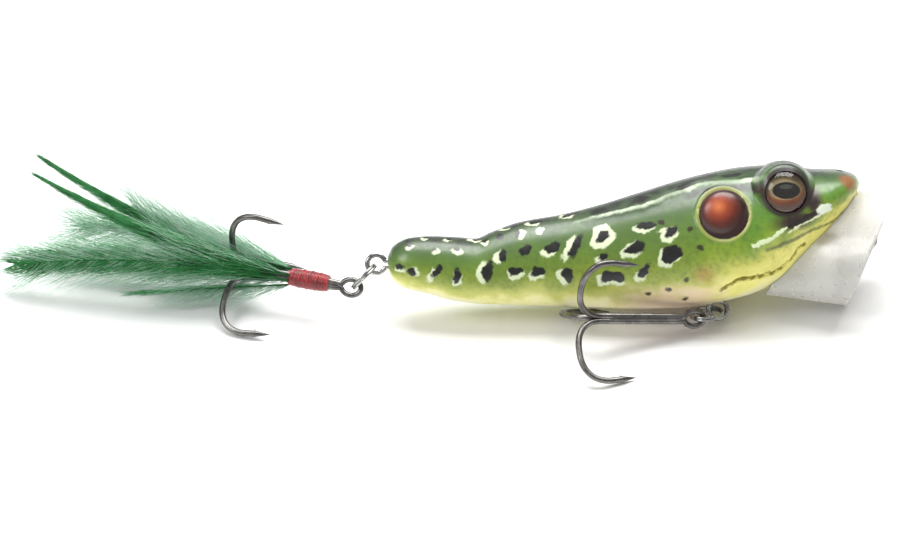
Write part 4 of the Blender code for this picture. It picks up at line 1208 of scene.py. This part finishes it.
def feather_finish():
    """Dyed feather: dark emerald near the quill, through mid green, to pale mint down."""
    finish = Finish("dyed_feather", sheen_weight=0.35, sheen_roughness=0.4, roughness=0.62,
                    transmission_weight=0.0, subsurface_weight=0.0)
    tone, tip = finish.value("tone"), finish.value("tip")
    cloud = finish.noise(420, 3)
    shade = finish.sum("ADD", tone, finish.ranged(tip, 0.1, 1.0, -0.04, 0.2))
    shade = finish.sum("ADD", shade, finish.ranged(cloud, 0.3, 0.7, -0.1, 0.1))
    colour = finish.ramp(shade, [(0.0, (8, 74, 32)), (0.18, (20, 126, 52)), (0.36, (44, 162, 78)),
                                 (0.55, (104, 192, 126)), (0.75, (166, 220, 186)), (1.0, (224, 242, 230))])
    streak = finish.noise(3200, 2)
    colour = finish.mix(finish.ranged(streak, 0.55, 0.8, 0, 0.35), colour, (150, 178, 96))
    tree = finish.tree
    through = finish.node("ShaderNodeBsdfTranslucent", Color=colour)
    both = finish.node("ShaderNodeMixShader", Fac=0.35)
    output = next(n for n in tree.nodes if n.type == "OUTPUT_MATERIAL")
    tree.links.new(finish.shader.outputs[0], both.inputs[1])
    tree.links.new(through.outputs[0], both.inputs[2])
    tree.links.new(both.outputs[0], output.inputs["Surface"])
    return finish.set(base_color=colour, roughness=finish.ranged(streak, 0.3, 0.7, 0.5, 0.75))


def hackle(count, reach, lean, tone):
    """The close barbs of a long feather, shorter towards its tip."""
    return {"count": count, "start": 0.12, "end": 0.985, "length": ([0, 0.15, 0.5, 0.9, 1], reach),
            "lean": ([0, 1], lean), "fan": (-14, 14), "radius": 0.055, "tone": tone, "joints": 7,
            "curl": 0.2, "wave": 0.06, "sag": 0.0, "both": True}


def down(count, end, length, lean, fan, tone, sag=0.0, both=False, start=0.0):
    """Loose downy barbs near a feather's root."""
    return {"count": count, "start": start, "end": end, "length": ([0, end], length),
            "lean": ([0, end], lean), "fan": fan, "radius": 0.036, "tone": tone, "joints": 12,
            "curl": 0.15, "wave": 0.55, "sag": sag, "both": both}


def collar(count, length, fan):
    """Stout short barbs crowded round the thread, over the hook's shank."""
    end = 0.3
    return {"count": count, "start": 0.0, "end": end, "length": ([0, end], length),
            "lean": ([0, end], (9, 15)), "fan": fan, "radius": 0.08, "tone": (0.0, 0.3), "joints": 8,
            "curl": 0.2, "wave": 0.12, "sag": 0.0, "both": True}


FEATHER_ROOT, FEATHER_ROOT_RADIUS = 9.6, 1.2
FEATHERS = [
    # node, root angle about the shank, tip from the hook's hinge, bow, quill radius, barbs
    ("hackle_upper_near", 48, (46.8, 6.2, 15.8), (0, 0.7, -1.5), 0.24,
     [hackle(900, (6.0, 9.0, 7.5, 3.0, 1.0), (11, 7), (0.05, 0.42)),
      collar(260, (9.0, 7.0), (-90, 90)),
      down(200, 0.5, (11, 8), (18, 26), (-40, 40), (0.45, 0.9), -0.2, True)]),
    ("hackle_upper_far", 122, (47.4, 2.3, 16.2), (0, -0.9, -3.6), 0.24,
     [hackle(900, (6.0, 9.0, 7.5, 3.2, 1.0), (11, 8), (0.1, 0.5)),
      collar(200, (9.0, 7.0), (-90, 90)),
      down(520, 0.6, (12, 8), (20, 30), (-60, 20), (0.6, 1.0), 0.2)]),
    ("hackle_middle", 8, (50.6, 7.3, -0.9), (0, 0.4, 2.4), 0.24,
     [hackle(1000, (6.5, 9.5, 10.5, 6.0, 2.0), (16, 22), (0.1, 0.6)),
      collar(240, (10.0, 7.0), (-90, 90)),
      down(760, 0.9, (13, 10), (24, 34), (-25, 30), (0.5, 1.0), 0.0, True, 0.1)]),
    ("hackle_lower", 290, (32.6, 6.4, -3.2), (0, -0.9, -0.5), 0.14,
     [hackle(260, (3.0, 5.5, 5.5, 3.4, 1.2), (9, 8), (0.3, 0.8)),
      down(220, 0.7, (9, 6), (20, 30), (120, 200), (0.8, 1.0))]),
    ("plume_upper", 165, (45.0, 0.6, 2.8), (0, -1.2, 0.8), 0.12,
     [down(1200, 0.9, (13, 9), (18, 28), (-80, 80), (0.5, 1.0), 0.0, True),
      collar(200, (12.0, 9.0), (-90, 90))]),
    ("plume_lower", 246, (38.0, 2.1, -3.4), (0, -0.2, -0.2), 0.12,
     [down(420, 0.92, (10, 7), (14, 26), (-50, 50), (0.65, 1.0), -0.2, True)]),
]


def feathers():
    dye = feather_finish()
    for node, root_deg, tip, bow, quill_radius, barbs in FEATHERS:
        angle = math.radians(root_deg)
        root = (FEATHER_ROOT, FEATHER_ROOT_RADIUS * math.cos(angle), FEATHER_ROOT_RADIUS * math.sin(angle))
        parts = feather_parts(root, tip, bow, quill_radius, barbs)
        mesh = mesh_of(node, parts, 180)
        piece(node + "_feather", mesh, TAIL_HOOK, "tail_treble", [node], dye)


# ---------------------------------------------------------------- hidden weights

def ballast():
    """Plain turned steel for the weights and rattle balls inside the body."""
    finish = metal_finish("ballast_steel", (120, 120, 120), (176, 176, 174), 0.4, 1800, (96, 88, 80))
    for node in ("tail_weight", "belly_weight", "rattle_ball_rear", "rattle_ball_front"):
        mesh = frame["nodes"][node].data
        mesh.materials.clear()
        mesh.materials.append(finish)


# ---------------------------------------------------------------- floor, light and camera

FOCAL_MM, SENSOR_MM = 500.0, 36.0
VIEW_WIDTH = 132.3 * MM
VIEW_CENTRE = Vector((9.11, 0.0, -1.18))
VIEW_ELEVATION = math.radians(37.3)


def floor():
    mesh = bpy.data.meshes.new("floor")
    half = 3.0
    corners = [(-half, -half, 0), (half, -half, 0), (half, half, 0), (-half, half, 0)]
    mesh.from_pydata(corners, [], [(0, 1, 2, 3)])
    finish = Finish("pale_floor", roughness=0.55)
    cloud = finish.ranged(finish.noise(3), 0.3, 0.7)
    finish.set(base_color=finish.mix(cloud, (246, 246, 246), (243, 243, 243)))
    mesh.materials.append(finish.material)
    thing = bpy.data.objects.new("floor", mesh)
    thing.location.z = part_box("belly_treble")[0].z - 0.05 * MM
    bpy.context.scene.collection.objects.link(thing)


def lamp(name, place, target, size, watts, tint=(1, 1, 1)):
    data = bpy.data.lights.new(name, "AREA")
    data.shape = "RECTANGLE"
    data.size, data.size_y = size
    data.energy = watts
    data.color = tint
    thing = bpy.data.objects.new(name, data)
    thing.location = place
    thing.rotation_euler = (Vector(target) - Vector(place)).to_track_quat("-Z", "Y").to_euler()
    bpy.context.scene.collection.objects.link(thing)


def studio():
    world = bpy.data.worlds.new("studio")
    world.use_nodes = True
    world.node_tree.nodes["Background"].inputs[0].default_value = (1, 1, 1, 1)
    world.node_tree.nodes["Background"].inputs[1].default_value = 0.4
    bpy.context.scene.world = world
    lamp("softbox_top", (0.05, 0.26, 0.62), (0, 0, 0), (0.7, 0.45), 8.4)
    lamp("softbox_left", (-0.5, -0.2, 0.5), (0, 0, 0), (0.3, 0.3), 2.0)
    bpy.context.scene.view_settings.view_transform = "Standard"


def camera():
    """A long lens from the front, 37 degrees up, with the body level across the picture."""
    data = bpy.data.cameras.new("camera")
    data.lens = FOCAL_MM
    data.sensor_width = SENSOR_MM
    thing = bpy.data.objects.new("camera", data)
    back = Vector((0, -math.cos(VIEW_ELEVATION), math.sin(VIEW_ELEVATION)))
    distance = VIEW_WIDTH * FOCAL_MM / SENSOR_MM
    target = LURE @ (VIEW_CENTRE * MM)
    along = LURE.to_3x3() @ Vector((1, 0, 0))
    right = (along - back * along.dot(back)).normalized()
    thing.matrix_world = axes_matrix(right, back.cross(right), back, target + back * distance)
    data.clip_start = 0.01
    bpy.context.scene.collection.objects.link(thing)
    bpy.context.scene.camera = thing


def main():
    steel = metal_finish("drawn_steel", (120, 120, 118), (190, 190, 188), 0.24, 2600, (92, 84, 74))
    nickel = metal_finish("black_nickel", (92, 90, 88), (128, 126, 123), 0.3, 2200, (66, 60, 54))
    body_skin()
    eyes()
    cup_lip()
    wires(steel)
    split_rings(steel)
    trebles(nickel)
    thread_wrap()
    feathers()
    ballast()
    floor()
    studio()
    camera()


main()
